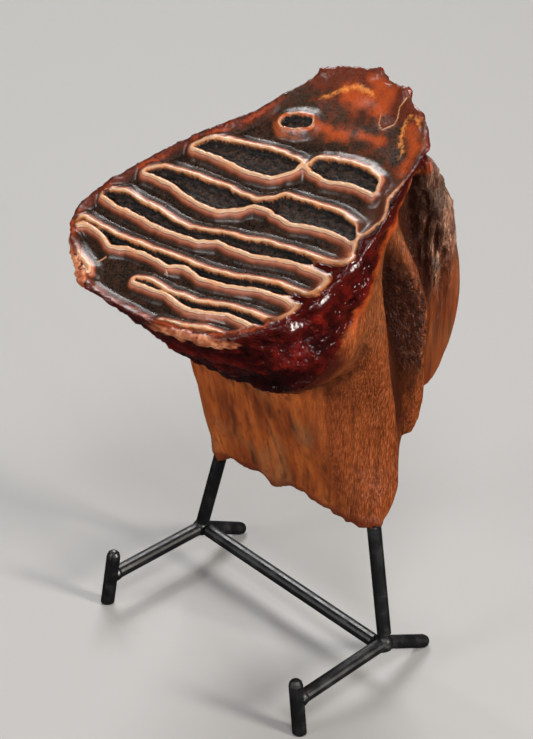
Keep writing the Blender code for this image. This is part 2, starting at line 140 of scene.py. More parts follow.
def make_studio():
    """A floor and wall spun from one profile."""
    bm = bmesh.new()
    curve = WALL_RADIUS - FLOOR_RADIUS
    profile = [bm.verts.new((0.0, 0.0, 0.0)), bm.verts.new((FLOOR_RADIUS, 0.0, 0.0))]
    for bend in np.linspace(0.0, math.pi / 2, CURVE_STEPS + 1)[1:]:
        profile.append(bm.verts.new((FLOOR_RADIUS + curve * math.sin(bend), 0.0,
                                     curve * (1 - math.cos(bend)))))
    profile.append(bm.verts.new((WALL_RADIUS, 0.0, WALL_HIGH)))
    edges = [bm.edges.new(pair) for pair in zip(profile, profile[1:])]
    bmesh.ops.spin(bm, geom=profile + edges, cent=(0, 0, 0), axis=(0, 0, 1), angle=2 * math.pi,
                   steps=ROUND_STEPS, use_merge=True)
    bmesh.ops.remove_doubles(bm, verts=bm.verts, dist=SAME_POINT)
    bmesh.ops.recalc_face_normals(bm, faces=bm.faces)
    bm.faces.ensure_lookup_table()
    if bm.faces[0].normal.z < 0:
        bmesh.ops.reverse_faces(bm, faces=bm.faces)
    floor = smooth_object(bm, "studio_floor", pale_paint())
    floor.visible_glossy = False  # its mirror image would grey the dark coat
    return floor


print("faces of the floor:", len(make_studio().data.polygons))

# %% Lamps
CROWN_AT = (0.0, 0.0, 0.15)
WHITE = (1.0, 1.0, 1.0)
WARM = (1.0, 0.95, 0.88)
# name, place, width and height in metres, watts, colour
LAMPS = (
    ("back_left_lamp", (-0.9, 0.8, 1.35), (0.8, 0.55), 23.0, WHITE),
    ("left_lamp", (-1.0, 0.55, 1.35), (0.5, 0.7), 2.5, WHITE),
    ("overhead_lamp", (0.46, -0.42, 1.15), (0.38, 0.38), 8.0, WHITE),
    ("right_lamp", (1.5, 0.44, 0.8), (0.35, 0.5), 38.0, WARM),
    ("front_lamp", (-0.5, -1.8, 0.9), (0.5, 0.5), 15.0, WHITE),
    # small lamps that add little light but leave bright points on wet, lumpy surfaces
    ("right_spark", (1.0, -0.28, 0.22), (0.03, 0.03), 1.6, WHITE),
    ("front_spark", (-0.05, -1.05, 0.1), (0.03, 0.03), 1.6, WHITE),
    ("low_spark", (0.8, -0.9, 0.12), (0.08, 0.08), 1.1, WHITE),
    ("left_spark", (-0.6, 0.1, 0.85), (0.035, 0.035), 1.2, WHITE),
)
AIR_COLOUR = (0.82, 0.83, 0.85, 1.0)
AIR_STRENGTH = 0.03


def soft_lamp(name, place, size, watts, colour):
    """A flat lamp that is turned to the crown."""
    light = bpy.data.lights.new(name, "AREA")
    light.shape = "RECTANGLE"
    light.size, light.size_y = size
    light.energy = watts
    light.color = colour
    back = Vector(place) - Vector(CROWN_AT)
    into_scene(name, light).matrix_world = (Matrix.Translation(place)
                                            @ back.to_track_quat("Z", "Y").to_matrix().to_4x4())


for lamp_values in LAMPS:
    soft_lamp(*lamp_values)
world = bpy.data.worlds.new("studio_air")
world.use_nodes = True
world.node_tree.nodes["Background"].inputs["Color"].default_value = AIR_COLOUR
world.node_tree.nodes["Background"].inputs["Strength"].default_value = AIR_STRENGTH
bpy.context.scene.world = world

# %% [markdown]
# ## The map of the chewing face
# A mammoth's cheek tooth is a row of flat plates, each a dark core of dentine in a hard shell of
# enamel, glued together by cement. Chewing wore them down to one slanting face, and there each
# plate shows as a long loop. The loops could be drawn as curves and cut out, but their walls are
# soft slopes that run into each other. So each loop is a chain of round blobs, written as place
# and half width, and one function says how far inside the nearest loop a point lies. Height,
# colour and gloss all come from that one number, so they can't drift apart.
# The valleys at the lower right end in a wide round, so the plates melt together more there.

# %% Where the chewing face lies
STAND_AT = Vector((5.8, 10.0, 0.0))  # mm, middle of the stand
TILT = math.radians(37.0)
PLANE_AT = np.array((-0.3, -27.0, 170.3))
PLANE_U = np.array((1.0, 0.0, 0.0))
PLANE_V = np.array((0.0, math.cos(TILT), math.sin(TILT)))
PLANE_N = np.array((0.0, -math.sin(TILT), math.cos(TILT)))

# (along, up the slope, half width) in mm; each row is one chain
PLATES = {
    "islet": ((-12.6, 35.5, 2.5), (-9.3, 36.8, 3.1), (-6, 38, 2.5)),
    "second_outer": ((-37, 14.5, 1.2), (-33, 16.4, 2.8), (-27, 17.8, 3.6), (-20, 18.5, 4.2),
                     (-13, 19.3, 5.0), (-6, 20.6, 4.9), (-1, 22.6, 3.1), (1.4, 24.3, 1.1)),
    "second_inner": ((5.8, 25.1, 1.2), (8.4, 26.3, 3.2), (13, 26.8, 4.2), (19, 28, 4.0),
                     (25, 28.5, 3.6), (30, 27.8, 3.0), (32.5, 26, 1.5)),
    "third": ((-47.5, -0.5, 1.2), (-42, 1.5, 2.4), (-36, 2, 2.9), (-29, 2, 3.9), (-22, 2, 4.4),
              (-15, 2.6, 4.5), (-9, 4, 3.0), (-3.5, 6.2, 1.3), (1.5, 8, 2.2), (6, 9.2, 4.0),
              (13, 9.6, 4.5), (20, 11, 4.0), (27, 11.6, 3.8), (33, 11.2, 3.2), (36.5, 9.2, 1.8)),
    "fourth": ((-56, -13.6, 1.6), (-50, -12.7, 3.1), (-42, -12.8, 2.6), (-34, -12.7, 2.8),
               (-27, -13.1, 2.4), (-19, -12.6, 2.1), (-14, -11.7, 2.2), (-6.5, -9.1, 1.8),
               (2, -8.2, 2.5), (9, -6.7, 2.9), (17, -5, 2.5), (25, -3.6, 2.2), (33, -3.4, 2.4),
               (41, -2.6, 2.8)),
    "fifth": ((-57, -25, 1.0), (-51, -25, 0.9), (-46, -25.5, 1.5), (-41, -26.3, 2.4),
              (-35, -25, 1.6), (-27, -24.2, 1.5), (-17, -23.5, 2.0), (-11, -22, 1.2),
              (-3.5, -22.3, 1.9), (3, -21.3, 2.0), (11, -19.4, 2.1), (17, -17.4, 1.9),
              (24, -16.2, 2.1), (30, -15.8, 2.0), (40, -15, 2.6)),
    "sixth": ((-23, -34.6, 1.0), (-19, -33.7, 1.5), (-14, -33.6, 1.2), (-9.5, -33.3, 0.6),
              (-4, -33.2, 1.7), (2, -33.0, 1.8), (8, -31.2, 1.9), (15, -28.9, 1.6),
              (22, -28.1, 1.9), (28, -27.9, 2.2), (33, -27.5, 2.6)),
    "seventh": ((-4, -43.5, 1.4), (4, -42.2, 2.0), (12, -40.0, 2.6), (20, -38.8, 2.4),
                (27, -34.5, 2.4), (31, -30.5, 2.2)),
    "inner_edge": ((41, 33, 1.8), (41.2, 26.4, 2.6), (44, 22.2, 2.6), (44.6, 18, 2.6),
                   (42.5, 12, 2.6), (41.3, 9.5, 2.6), (43, 4, 1.8), (42.5, -3, 2.4),
                   (41, -13, 2.4), (36.5, -22, 2.3), (31.5, -29.5, 2.0)),
    "outer_edge": ((-57.5, -26, 0.9), (-60.5, -30, 1.3), (-56, -34.6, 1.3), (-49, -37.4, 1.4),
                   (-42, -39.4, 1.2)),
}
RIM = ((-62.5, -24), (-54, -36.5), (-39.5, -44.5), (-18, -45.5), (2, -44.5), (18, -40),
       (31, -29.5), (39.5, -14), (43.2, 2.5), (43, 18.5), (40.5, 33), (38.8, 48.5), (26, 58.5),
       (5.5, 63.8), (-13, 56), (-26.5, 33), (-43.5, 14.5), (-58, -8.5))
print("plates:", len(PLATES))

# %% Distances on the map
FAR_AWAY = 1e3  # mm, more than any distance on the tooth


def smoothstep(low, high, x):
    """A soft step: 0 below the low place, 1 above the high one."""
    t = np.clip((x - low) / (high - low), 0.0, 1.0)
    return t * t * (3 - 2 * t)


def closest(u, v, start, end):
    """Distance from points to one straight stretch, and how far along it they lie."""
    du, dv = end[0] - start[0], end[1] - start[1]
    t = np.clip(((u - start[0]) * du + (v - start[1]) * dv) / (du * du + dv * dv), 0.0, 1.0)
    return np.hypot(u - start[0] - t * du, v - start[1] - t * dv), t


def chain_depth(u, v, chain):
    """How far inside one chain of round blobs; negative outside."""
    best = np.full(u.shape, -FAR_AWAY)
    for start, end in zip(chain, chain[1:]):
        away, t = closest(u, v, start, end)
        best = np.maximum(best, start[2] + t * (end[2] - start[2]) - away)
    return best


print("depth in the middle of the islet:", chain_depth(np.array([-9.3]), np.array([36.8]),
                                                       PLATES["islet"]))


# %% Plates that melt together
MELT = 0.7  # mm, how softly two plates run into each other
END_MELT = 1.0  # mm more at the round ends of the valleys


def stroke_depth(u, v, strokes):
    """How far inside the nearest of several chains."""
    return np.max([chain_depth(u, v, chain) for chain in strokes], axis=0)


def plate_depth(u, v):
    """How far inside the nearest plate; negative in the cement between plates."""
    valley_end = smoothstep(33.0, 38.0, u) * (1 - smoothstep(2.0, 8.0, v))
    melt = MELT + END_MELT * valley_end
    total = np.zeros(u.shape)
    for chain in PLATES.values():
        total += np.exp(np.clip(chain_depth(u, v, chain), -30.0, 8.0) / melt)
    return melt * np.log(total + 1e-30)


print("depth in the middle of the fourth plate:", plate_depth(np.array([2.0]), np.array([-8.2])))


# %% Distance from the rim
RIM_STEPS = 4  # short stretches between two points of the rim


def smooth_loop(points, steps):
    """A closed curve through the points, with a few steps between each two."""
    rows = np.asarray(points, float)
    a, b, c, d = (np.roll(rows, k, axis=0) for k in (1, 0, -1, -2))
    out = []
    for f in np.arange(steps) / steps:
        out.append(0.5 * (2 * b + (c - a) * f + (2 * a - 5 * b + 4 * c - d) * f ** 2
                          + (3 * b - a - 3 * c + d) * f ** 3))
    return np.stack(out, axis=1).reshape(-1, rows.shape[1])


def rim_depth(u, v):
    """How far inside the rim of the chewing face; negative outside."""
    rim = smooth_loop(RIM, RIM_STEPS)
    nearest = np.full(u.shape, FAR_AWAY)
    crossings = np.zeros(u.shape, int)
    for start, end in zip(rim, np.roll(rim, -1, axis=0)):
        nearest = np.minimum(nearest, closest(u, v, start, end)[0])
        rise = end[1] - start[1]
        if abs(rise) > 1e-9:
            spans = (start[1] > v) != (end[1] > v)
            crossings += (spans & (u < start[0] + (v - start[1]) * (end[0] - start[0]) / rise))
    return np.where(crossings % 2 == 1, nearest, -nearest)


print("distance of the map's middle from the rim:", rim_depth(np.zeros(1), np.zeros(1)))

# %% [markdown]
# ## A fine skin for the tooth
# The solid has flat facets a few millimetres wide. A voxel remesh turns a copy of it into even
# squares one millimetre wide. Voxels follow the axes, so the copy is first laid down until the
# chewing face is level. The grid then runs straight along the plates, where the finest sculpting
# is done, and that face gets one more cut. Smoothing irons out the old facets.

# %% Copy and remesh
VOXEL = 0.00105  # metres
MERGE_WITHIN = 1e-6  # metres; the solid model's triangles are loose


def own_copy(node, name):
    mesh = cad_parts[node].data.copy()
    mesh.name = name
    bm = bmesh.new()
    bm.from_mesh(mesh)
    bmesh.ops.remove_doubles(bm, verts=bm.verts, dist=MERGE_WITHIN)
    bm.to_mesh(mesh)
    bm.free()
    mesh.materials.clear()
    return into_scene(name, mesh)


def apply_modifiers(obj):
    graph = bpy.context.evaluated_depsgraph_get()
    done = bpy.data.meshes.new_from_object(obj.evaluated_get(graph))
    obj.modifiers.clear()
    old = obj.data
    obj.data = done
    bpy.data.meshes.remove(old)


tooth = own_copy("tooth", "mammoth_tooth")
level = Matrix.Rotation(-TILT, 4, "X")
tooth.data.transform(level)
grid = tooth.modifiers.new("even_skin", "REMESH")
grid.mode = "VOXEL"
grid.voxel_size = VOXEL
apply_modifiers(tooth)
tooth.data.transform(level.inverted())
print("skin:", len(tooth.data.vertices), "points")


# %% Reading places on the mesh
def places(mesh):
    """Points in mm from the middle of the stand, and their normals."""
    co = np.empty(len(mesh.vertices) * 3, np.float32)
    no = np.empty(len(mesh.vertices) * 3, np.float32)
    mesh.vertices.foreach_get("co", co)
    mesh.vertex_normals.foreach_get("vector", no)
    return co.reshape(-1, 3) / MM - np.array(STAND_AT), no.reshape(-1, 3)


def put_back(mesh, points):
    mesh.vertices.foreach_set("co", ((points + np.array(STAND_AT)) * MM).astype(np.float32).ravel())
    mesh.update()


def on_face(points):
    """Along, up and over the chewing face."""
    rel = points - PLANE_AT
    return rel @ PLANE_U, rel @ PLANE_V, rel @ PLANE_N


TOP_FACING = 0.45  # how squarely a point of the worn face looks along the face's normal
TOP_INSIDE = 0.8  # mm inside the rim
TOP_LOWEST = -7.0  # mm over the plane of the face
points, normals = places(tooth.data)
u, v, over = on_face(points)
top = (normals @ PLANE_N > TOP_FACING) & (rim_depth(u, v) > TOP_INSIDE) & (over > TOP_LOWEST)
print("points on the chewing face:", int(top.sum()))

# %% Cut the chewing face finer and relax the sides
SIDE_PASSES = 8
bm = bmesh.new()
bm.from_mesh(tooth.data)
bm.verts.ensure_lookup_table()
sides = [vert for vert, is_top in zip(bm.verts, top) if not is_top]
for _ in range(SIDE_PASSES):
    bmesh.ops.smooth_vert(bm, verts=sides, factor=0.5, use_axis_x=True, use_axis_y=True,
                          use_axis_z=True)
fine = [e for e in bm.edges if top[e.verts[0].index] and top[e.verts[1].index]]
bmesh.ops.subdivide_edges(bm, edges=fine, cuts=1, use_grid_fill=True)
bm.to_mesh(tooth.data)
bm.free()
tooth.data.shade_smooth()
triangles = sum(len(f.vertices) - 2 for f in tooth.data.polygons)
print("after the finer cut:", len(tooth.data.vertices), "points,", triangles, "triangles")


# %% Noise for the sculpting
def bumps(points, size, seed=0.0):
    """Smooth noise between -1 and 1, with its own size in each direction."""
    scaled = points / np.asarray(size, float) + seed
    return np.array([noise.noise(Vector(p)) for p in scaled.tolist()])


def layered(points, *layers, folded=False):
    """Noise of several sizes, added up; each layer is (height, size in mm, seed).

    Folded noise has its lower half turned up, which leaves sharp creases.
    """
    total = 0.0
    for high, size, seed in layers:
        layer = bumps(points, size, seed)
        total = total + high * (np.abs(layer) if folded else layer)
    return total


print("noise at one place:", layered(np.ones((1, 3)), (1.0, 5.0, 3.0), (0.5, 2.0, 11.0)))

# %% [markdown]
# ## Strokes for crust, stains and cracks
# Some features sit at one place only: the crumbly crust on the lower rim, the glassy lumps where
# the plates run out on the right, amber streaks in the worn far corner, a few cracks. They could
# be painted on a texture, but a few strokes on the same map do it: each is again a chain of
# blobs, so it has a soft edge and can drive both height and colour.

# %% Strokes
CRUST = (((-61.5, -29, 1.0), (-60.5, -31.5, 1.6), (-56, -36.6, 2.6), (-49, -40, 3.4),
          (-43.5, -42, 3.0), (-40, -43.5, 1.4)),
         ((-20, -48, 1.0), (-12, -47.5, 1.8), (-4, -46.2, 2.2), (4, -45.2, 2.8), (12, -43.4, 3.2),
          (20, -41.2, 2.6), (26, -38.0, 1.8)))
WET = (((41, 33, 0.9), (41.2, 26.4, 1.7), (44, 22.2, 1.7), (44.6, 18, 2.0), (42.5, 12, 2.2),
        (41.3, 9.5, 2.3), (43, 4, 1.6), (42.5, -3, 1.6), (41, -13, 1.6), (36.5, -22, 1.5),
        (31.5, -29.5, 1.2)),
       ((44, 32, 2.0), (46, 20, 3.0), (45, 4, 3.0), (45, -3, 3.0), (43.5, -13, 3.0),
        (39.5, -23, 3.2), (34.5, -31.5, 3.2), (28, -38, 2.6)),
       ((-40, -45.5, 1.0), (-30, -46.3, 1.5), (-19, -47.3, 1.6)))
AMBER = (((-7.5, 48.1, 0.1), (-2.4, 53.0, 0.3), (2.6, 56.1, 0.6), (5.5, 56.2, 0.8),
          (9.2, 55.2, 0.3)),
         ((26.4, 53.5, 0.3), (26.6, 49.5, 0.4), (28.8, 44.8, 0.4), (31.7, 41.9, 0.5),
          (32, 38.7, 0.1)),
         ((26.4, 53.5, 0.3), (30.3, 53, 0.4), (32.7, 51.3, 0.2)))
GLOW = (((1.3, 53.1, 3.0), (6.4, 52.3, 3.0), (10, 56, 2.5)),
        ((-3, 39.1, 1.0), (2.2, 38.6, 1.8), (9.5, 38.8, 1.2)),
        ((5.7, 59.8, 1.0), (14.2, 58.3, 2.0), (14.1, 52.7, 3.0)),
        ((14.1, 41.5, 0.8), (22.3, 42.1, 0.8)), ((30, 49, 2), (36, 44, 2), (37, 36, 1.5)))
CRACKS = (((22.3, 59.8, 0.1), (20.9, 55.1, 0.1), (22.5, 51.2, 0.12), (22.6, 49.2, 0.1),
           (20, 46, 0.05)),
          ((15.6, 51.2, 0.05), (17.3, 47.7, 0.1), (19.3, 46.4, 0.05)),
          ((-40.7, -32, 0.1), (-42.2, -34.7, 0.1)), ((-16, -26.8, 0.1), (-14.9, -28.3, 0.05)))
print("strokes:", len(CRUST + WET + AMBER + GLOW + CRACKS))

# %% Knobs and lumps
# knobs and chips of the rim: (along, up, radius, height)
KNOBS = ((-12.5, 57.5, 3.2, 2.3), (-19.0, 51.0, 4.5, -1.5), (-34.0, 27.0, 8.0, 0.9),
         (-7.6, 60.0, 1.8, 0.8), (6.0, 64.2, 2.2, 2.3), (12.5, 62.5, 2.8, -1.1),
         (19.8, 60.8, 2.0, 2.6), (24.5, 58.8, 2.0, -0.9), (30.0, 56.0, 2.5, 0.5),
         (-42.0, -43.5, 3.4, 1.8), (-38.0, -45.0, 2.0, 1.2), (-28.0, -45.5, 2.0, 0.8),
         (38.5, 47.0, 3.0, 1.0), (44.5, 18.0, 3.0, 0.5), (-57.5, -8.0, 2.0, 0.7),
         (-44.0, 14.0, 2.0, 0.5), (42.3, -0.5, 2.6, 1.4), (40.3, -12.3, 3.0, 1.5),
         (35.8, -24.5, 2.4, 1.2), (42.8, 9.0, 2.2, 0.6))
# large smooth lumps at the ends of the plates: (x, y, z); they all face the same way
GLASSY_AT = ((42.9, -25.9, 171.0), (41.0, -37.0, 162.0), (36.6, -44.0, 153.6))
GLASSY_FACE = np.array((0.838, -0.219, 0.5))
GLASSY_LONG = np.array((0.049, 0.943, 0.328))
print("knobs:", len(KNOBS), "large lumps:", len(GLASSY_AT))

# %% [markdown]
# ## Sculpting the chewing face
# Enamel is the hardest, so it stands up as a thin crest round each plate. The dentine inside is
# worn into a rough trough, and the cement between plates into a smooth valley. Each point of the
# face is slid square to the worn plane until it reaches the height that its distance asks for.
# Food moves one way over the face, so the far side of each crest is steeper than the near side.

# %% How deep in plates, crust and wet lumps each point lies
LOOK_ASIDE = 0.5  # mm up and down the slope, to tell a crest's far side
FAR_STEEPER = 0.12  # share by which the far side of a crest is steeper
FAR_NARROWER = 0.5  # share by which its bands of colour are narrower
ISLET_NARROWER = 0.9
THIN_NARROWER = 1.1  # the same for the thin enamel up the right edge
THIN_FADE = 2.2  # mm; sinks that enamel under the cement at its upper end
JAGS_DEEP = 0.4  # how far the jagged inner edge of the enamel cuts in
WEDGE_OFF = 1.9  # takes the dentine away where the plates end at the right
NO_DENTINE = 4.0  # the same, under the crust and along the outer edge
CRUST_LOWEST = 4.5  # mm under the plane of the face

points, normals = places(tooth.data)
u, v, over = on_face(points)
rim = rim_depth(u, v)
wobble = layered(points, (0.35, 5.0, 3.0), (0.28, 2.1, 11.0))
teeth = layered(points, (0.55, 0.85, 21.0), (0.3, 1.7, 25.0), folded=True)
plate = plate_depth(u, v) + wobble
far_side = smoothstep(0.0, 0.6, plate_depth(u, v - LOOK_ASIDE) - plate_depth(u, v + LOOK_ASIDE))
slope_at = np.where(plate < 0, plate * (1 + FAR_STEEPER * far_side), plate)
plate = np.where(plate < 0, plate * (1 + FAR_NARROWER * far_side), plate)
in_islet = smoothstep(-4.0, -2.0, chain_depth(u, v, PLATES["islet"]))
plate = plate * (1 + ISLET_NARROWER * in_islet)
thin_line = smoothstep(33.5, 36.0, u) * smoothstep(8.0, 13.0, v)
plate = (plate * (1 + THIN_NARROWER * thin_line)
         - THIN_FADE * thin_line * smoothstep(22.0, 32.0, v))

crust = stroke_depth(u, v, CRUST) + 0.7 * bumps(points, 4.0, 33.0) + 0.4 * bumps(points, 1.5, 35.0)
crust = np.minimum(crust, over + CRUST_LOWEST)
core = plate - JAGS_DEEP * teeth * smoothstep(0.3, 0.9, plate)
wedge = smoothstep(24.0, 35.0, u) * (1 - smoothstep(3.0, 7.0, v))
core -= WEDGE_OFF * wedge
core -= NO_DENTINE * smoothstep(-3.0, -1.0, chain_depth(u, v, PLATES["outer_edge"]))
core -= NO_DENTINE * smoothstep(-2.5, -0.5, crust)
wet = stroke_depth(u, v, WET) + 0.35 * bumps(points, 3.0, 43.0)
wet = np.maximum(wet, 3.0 * wedge * smoothstep(0.7, 1.5, plate) - 2.0)
print("points in dentine, crust and wet lumps:",
      [int((depth > 0).sum()) for depth in (core, crust, wet)])

# %% Heights of the worn face, in mm
VALLEY_DEEP = 2.0
VALLEY_SLOPE = (0.3, 4.3)  # how far outside a plate the valley starts and is deepest
CORNER_WORN = 0.5  # share by which the valleys of the far corner are worn away
BASIN_DEEP = 1.9
BASIN_SLOPE = (0.4, 1.5)
DISH_DEEP = 1.0
DISH_SLOPE = (4.0, 30.0)
CREST_HIGH = 0.5
CREST_AT = -0.1
CREST_WIDE = 0.9
LIP_HIGH = 0.8
LIP_WIDE = 5.0
CORNER_WIDER = 5.0  # how much wider the lip is at the far corner
RIGHT_NARROWER = 3.4  # and narrower along the right edge
RIGHT_LOWER = 0.7
WET_AT = -0.6
WET_HIDES = 0.75  # share of the older heights that the lumps cover up
CRUST_HIGH = 0.3
CRUST_HIDES = 0.8
CRUMBS_AT = -0.35
CRACK_DEEP = 0.25

height = -BASIN_DEEP * smoothstep(*BASIN_SLOPE, core)
height += CREST_HIGH * np.exp(-((plate - CREST_AT) / CREST_WIDE) ** 2)
worn_flat = 1 - CORNER_WORN * smoothstep(28, 40, v)
height -= VALLEY_DEEP * smoothstep(*VALLEY_SLOPE, wobble - slope_at) * worn_flat
height -= DISH_DEEP * smoothstep(*DISH_SLOPE, rim)
height += smoothstep(0.8, 1.8, core) * layered(points, (0.5, (2.8, 1.3, 1.3), 31.0),
                                               (0.3, 0.9, 41.0))
right_edge = smoothstep(30.0, 36.0, u) * (1 - smoothstep(33.0, 40.0, v))
lip_wide = LIP_WIDE + CORNER_WIDER * smoothstep(35, 45, v) - RIGHT_NARROWER * right_edge
lip = 1 - smoothstep(0.3, lip_wide, rim)
height = height * (1 - lip) + LIP_HIGH * lip * (1 - RIGHT_LOWER * right_edge)
height += lip * layered(points, (0.6, 7.0, 51.0), (0.25, 2.0, 61.0))
in_wet = smoothstep(-0.6, 1.0, wet)
wet_high = WET_AT + 1.5 * bumps(points, 6.5, 63.0) + 0.2 * bumps(points, 2.2, 65.0)
height = height * (1 - WET_HIDES * in_wet) + in_wet * wet_high
in_crust = smoothstep(-0.8, 0.8, crust)
crumbs = layered(points, (0.9, 2.2, 67.0), (0.6, 1.1, 69.0), folded=True) + CRUMBS_AT
height = height * (1 - CRUST_HIDES * in_crust) + in_crust * (CRUST_HIGH + crumbs)
height += 0.12 * bumps(points, 7.0, 71.0) + 0.5 * smoothstep(30, 45, v) * bumps(points, 9.0, 73.0)
height -= CRACK_DEEP * smoothstep(-0.35, 0.1, stroke_depth(u, v, CRACKS))
print("lowest and highest asked for:", height.min(), height.max())

# %% Slide the face to its heights
facing = smoothstep(0.25, 0.6, normals @ PLANE_N) * smoothstep(-9.0, -6.5, over)
on_top = facing * smoothstep(-0.6, 0.9, rim)
points += ((height - over) * on_top)[:, None] * PLANE_N
put_back(tooth.data, points)
print("height of the face, lowest and highest:", height[on_top > 0.5].min(),
      height[on_top > 0.5].max())

# %% [markdown]
# ## Sculpting the crown's coat and the root
# Below the rim the crown wears a thick glossy coat that has run and set in lumps. Further down it
# ends in a rolled edge, and the bare root shows, with a grain that runs down it as in old wood.
# The same kind of noise does both jobs: even in all directions for the coat, and stretched far
# along the height for the root, so it turns into flutes. The outer lobe behind is more like bark.
# Where the plates end at the right, a few lumps are large and smooth, so each of them is made as
# one low dome of its own.

# %% Where the coat ends, seen from the middle of the chewing face
# (x, y, z) in mm, once round
COAT_EDGE = ((-57, -38, 144), (-48, -47, 137.5), (-33, -49.5, 131.5), (-15, -44.5, 121.5),
             (1, -42, 120), (17, -41, 120.5), (27, -40, 122.5), (32, -39, 126), (36, -36, 130),
             (38, -31, 132.5), (40, -25, 139.5), (39.6, -22, 145.5), (40.3, -18.4, 154.5),
             (39.7, -12.9, 162.5), (38.5, -5, 174), (38, 1, 182), (34, 9, 187), (27, 20, 192),
             (7, 27, 195), (-13, 22, 190), (-27, 8, 179), (-44, -12, 162), (-57, -26, 151))
MIDDLE = (-6.0, 6.0)
EDGE_HALF = 0.8  # mm to each side, how softly coat turns into root


def coat_depth(u, v):
    """How far below the chewing face the coat reaches, by direction."""
    cu, cv, cn = on_face(np.array(COAT_EDGE, float))
    around = np.arctan2(cv - MIDDLE[1], cu - MIDDLE[0])
    order = np.argsort(around)
    once = around[order]
    angle = np.concatenate([once - 2 * math.pi, once, once + 2 * math.pi])
    return np.interp(np.arctan2(v - MIDDLE[1], u - MIDDLE[0]), angle, np.tile(-cn[order], 3))


points, normals = places(tooth.data)
u, v, over = on_face(points)
side = 1 - on_top
behind = smoothstep(0.0, 20.0, points[:, 1])
below = coat_depth(u, v) + 1.3 * bumps(points, 7.0, 5.0) + over
below += behind * layered(points, (3.0, 15.0, 6.0), (1.5, 5.0, 8.0))
coat = side * smoothstep(-EDGE_HALF, EDGE_HALF, below)
root = side * (1 - smoothstep(-EDGE_HALF, EDGE_HALF, below))
print("points in the coat and the root:", int((coat > 0.5).sum()), int((root > 0.5).sum()))

# %% Which lobe a point belongs to
# the gap before the outer lobe, and the groove before the inner one: (height, how far back)
LOBE_GAP = ((100, 22), (116, 22), (128, 22.5), (139, 22), (149, 20.5), (160, 16), (172, 12),
            (186, 8), (200, 4))
GROOVE = ((92, 14), (105, 12), (112, 10), (123, 7.5), (131, 6), (143, 3.5), (151, 1),
          (163, -5), (175, -12))
BARK_LOW = 120.0  # mm; the bark starts here and is whole at BARK_HIGH
BARK_HIGH = 158.0
BARK_RAGGED = 11.0  # mm up and down, its uneven lower end

x, y, z = points.T  # views, so they follow when the points are moved
gap_at = np.interp(z, *zip(*LOBE_GAP))
outer = root * smoothstep(15.0, 19.0, x) * smoothstep(-1.0, 1.0, y - gap_at)
bark_up = z + BARK_RAGGED * bumps(points, (3.2, 3.2, 20.0), 9.0) - 0.8 * (x - 30.0)
bark_up += np.clip(1.6 * (27.0 - y), -10.0, 12.0)
bark = outer * smoothstep(BARK_LOW, BARK_HIGH, bark_up)
right_side = root * smoothstep(10.0, 34.0, x) * (1 - outer)
groove_at = np.interp(z, *zip(*GROOVE))
inner_lobe = root * (1 - outer) * smoothstep(-0.8, 0.8, y - groove_at) * smoothstep(20.0, 26.0, x)
# sides of the inner lobe that face the front, which the paint darkens as painted shade
shaded_lobe_side = inner_lobe * smoothstep(0.5, 0.8, -normals[:, 1]) * smoothstep(98.0, 112.0, z)
lobe_ridge = inner_lobe * smoothstep(108.0, 122.0, z) * (1 - smoothstep(152.0, 164.0, z))
lobe_ridge *= 1 - smoothstep(0.3, 0.8, normals[:, 1])
print("points in the outer and inner lobe:", int((outer > 0.5).sum()),
      int((inner_lobe > 0.5).sum()))

# %% Relief of coat, root and bark, in mm
ROLL_HIGH = 0.8  # the rolled lower edge of the coat
ROLL_AT = 1.2
ROLL_WIDE = 2.2
CALM_RIM = 0.65  # share by which lumps sink beside the rim
CALM_BARK = 0.5  # share by which flutes sink under bark

soft_edge = smoothstep(30.0, 37.0, x) * smoothstep(-36.0, -28.0, y)
roll = np.exp(-((below - ROLL_AT) / ROLL_WIDE) ** 2) * side * (1 - soft_edge)
lump = layered(points, (0.9, 8.0, 7.0), (0.9, 3.8, 17.0)) + ROLL_HIGH * roll
lump += 0.55 * bumps(points, 2.0, 19.0) - 0.7 * np.abs(bumps(points, 2.6, 27.0))
lump = lump * (1 - CALM_RIM * smoothstep(-5.0, -1.5, over))
flutes = layered(points, (0.35, (3.4, 3.4, 60.0), 37.0), (0.22, (1.9, 1.9, 32.0), 47.0),
                 (0.6, (13.0, 13.0, 40.0), 57.0))
scales = 0.16 * bumps(points, (1.3, 1.3, 10.0), 107.0)
rough_ridge = (0.5 * bumps(points, 2.0, 113.0)
               - 0.6 * np.abs(bumps(points, (1.6, 1.6, 4.0), 115.0)))
bark_ridges = layered(points, (1.5, (2.9, 2.9, 30.0), 67.0), (0.45, (2.0, 2.0, 6.0), 69.0))
bark_ridges -= 1.4 * np.abs(bumps(points, (2.2, 2.2, 18.0), 77.0))
move = (coat * lump + root * flutes * (1 - CALM_BARK * bark) + right_side * scales
        + bark * bark_ridges)
move += lobe_ridge * rough_ridge
print("relief from", move.min(), "to", move.max())

# %% Move the sides, knobs with them
GLASSY_FROM = 35.0  # knobs further along than this
GLASSY_BELOW = 12.0  # and lower on the slope than this are smooth too

glassy_lump = np.zeros(len(points))
for along, up, radius, high in KNOBS:
    near = np.exp(-((u - along) ** 2 + (v - up) ** 2 + (0.8 * over) ** 2) / radius ** 2)
    if along > GLASSY_FROM and up < GLASSY_BELOW:
        glassy_lump = np.maximum(glassy_lump, near)
    move = move + near * high * (0.8 + 0.5 * bumps(points, 1.4, 111.0))
points += normals * move[:, None]
print("largest move in mm:", float(np.abs(move).max()))

# %% Large smooth lumps at the ends of the plates
DOME_HIGH = 0.5
DOME_LONG = 4.6  # half length and half width
DOME_WIDE = 2.6
DOME_FLAT_LONG = 80.0  # the larger, the flatter the dome is in that direction
DOME_FLAT_WIDE = 20.0
DOME_REACH = 4.0  # mm; only the skin this near is drawn to the dome

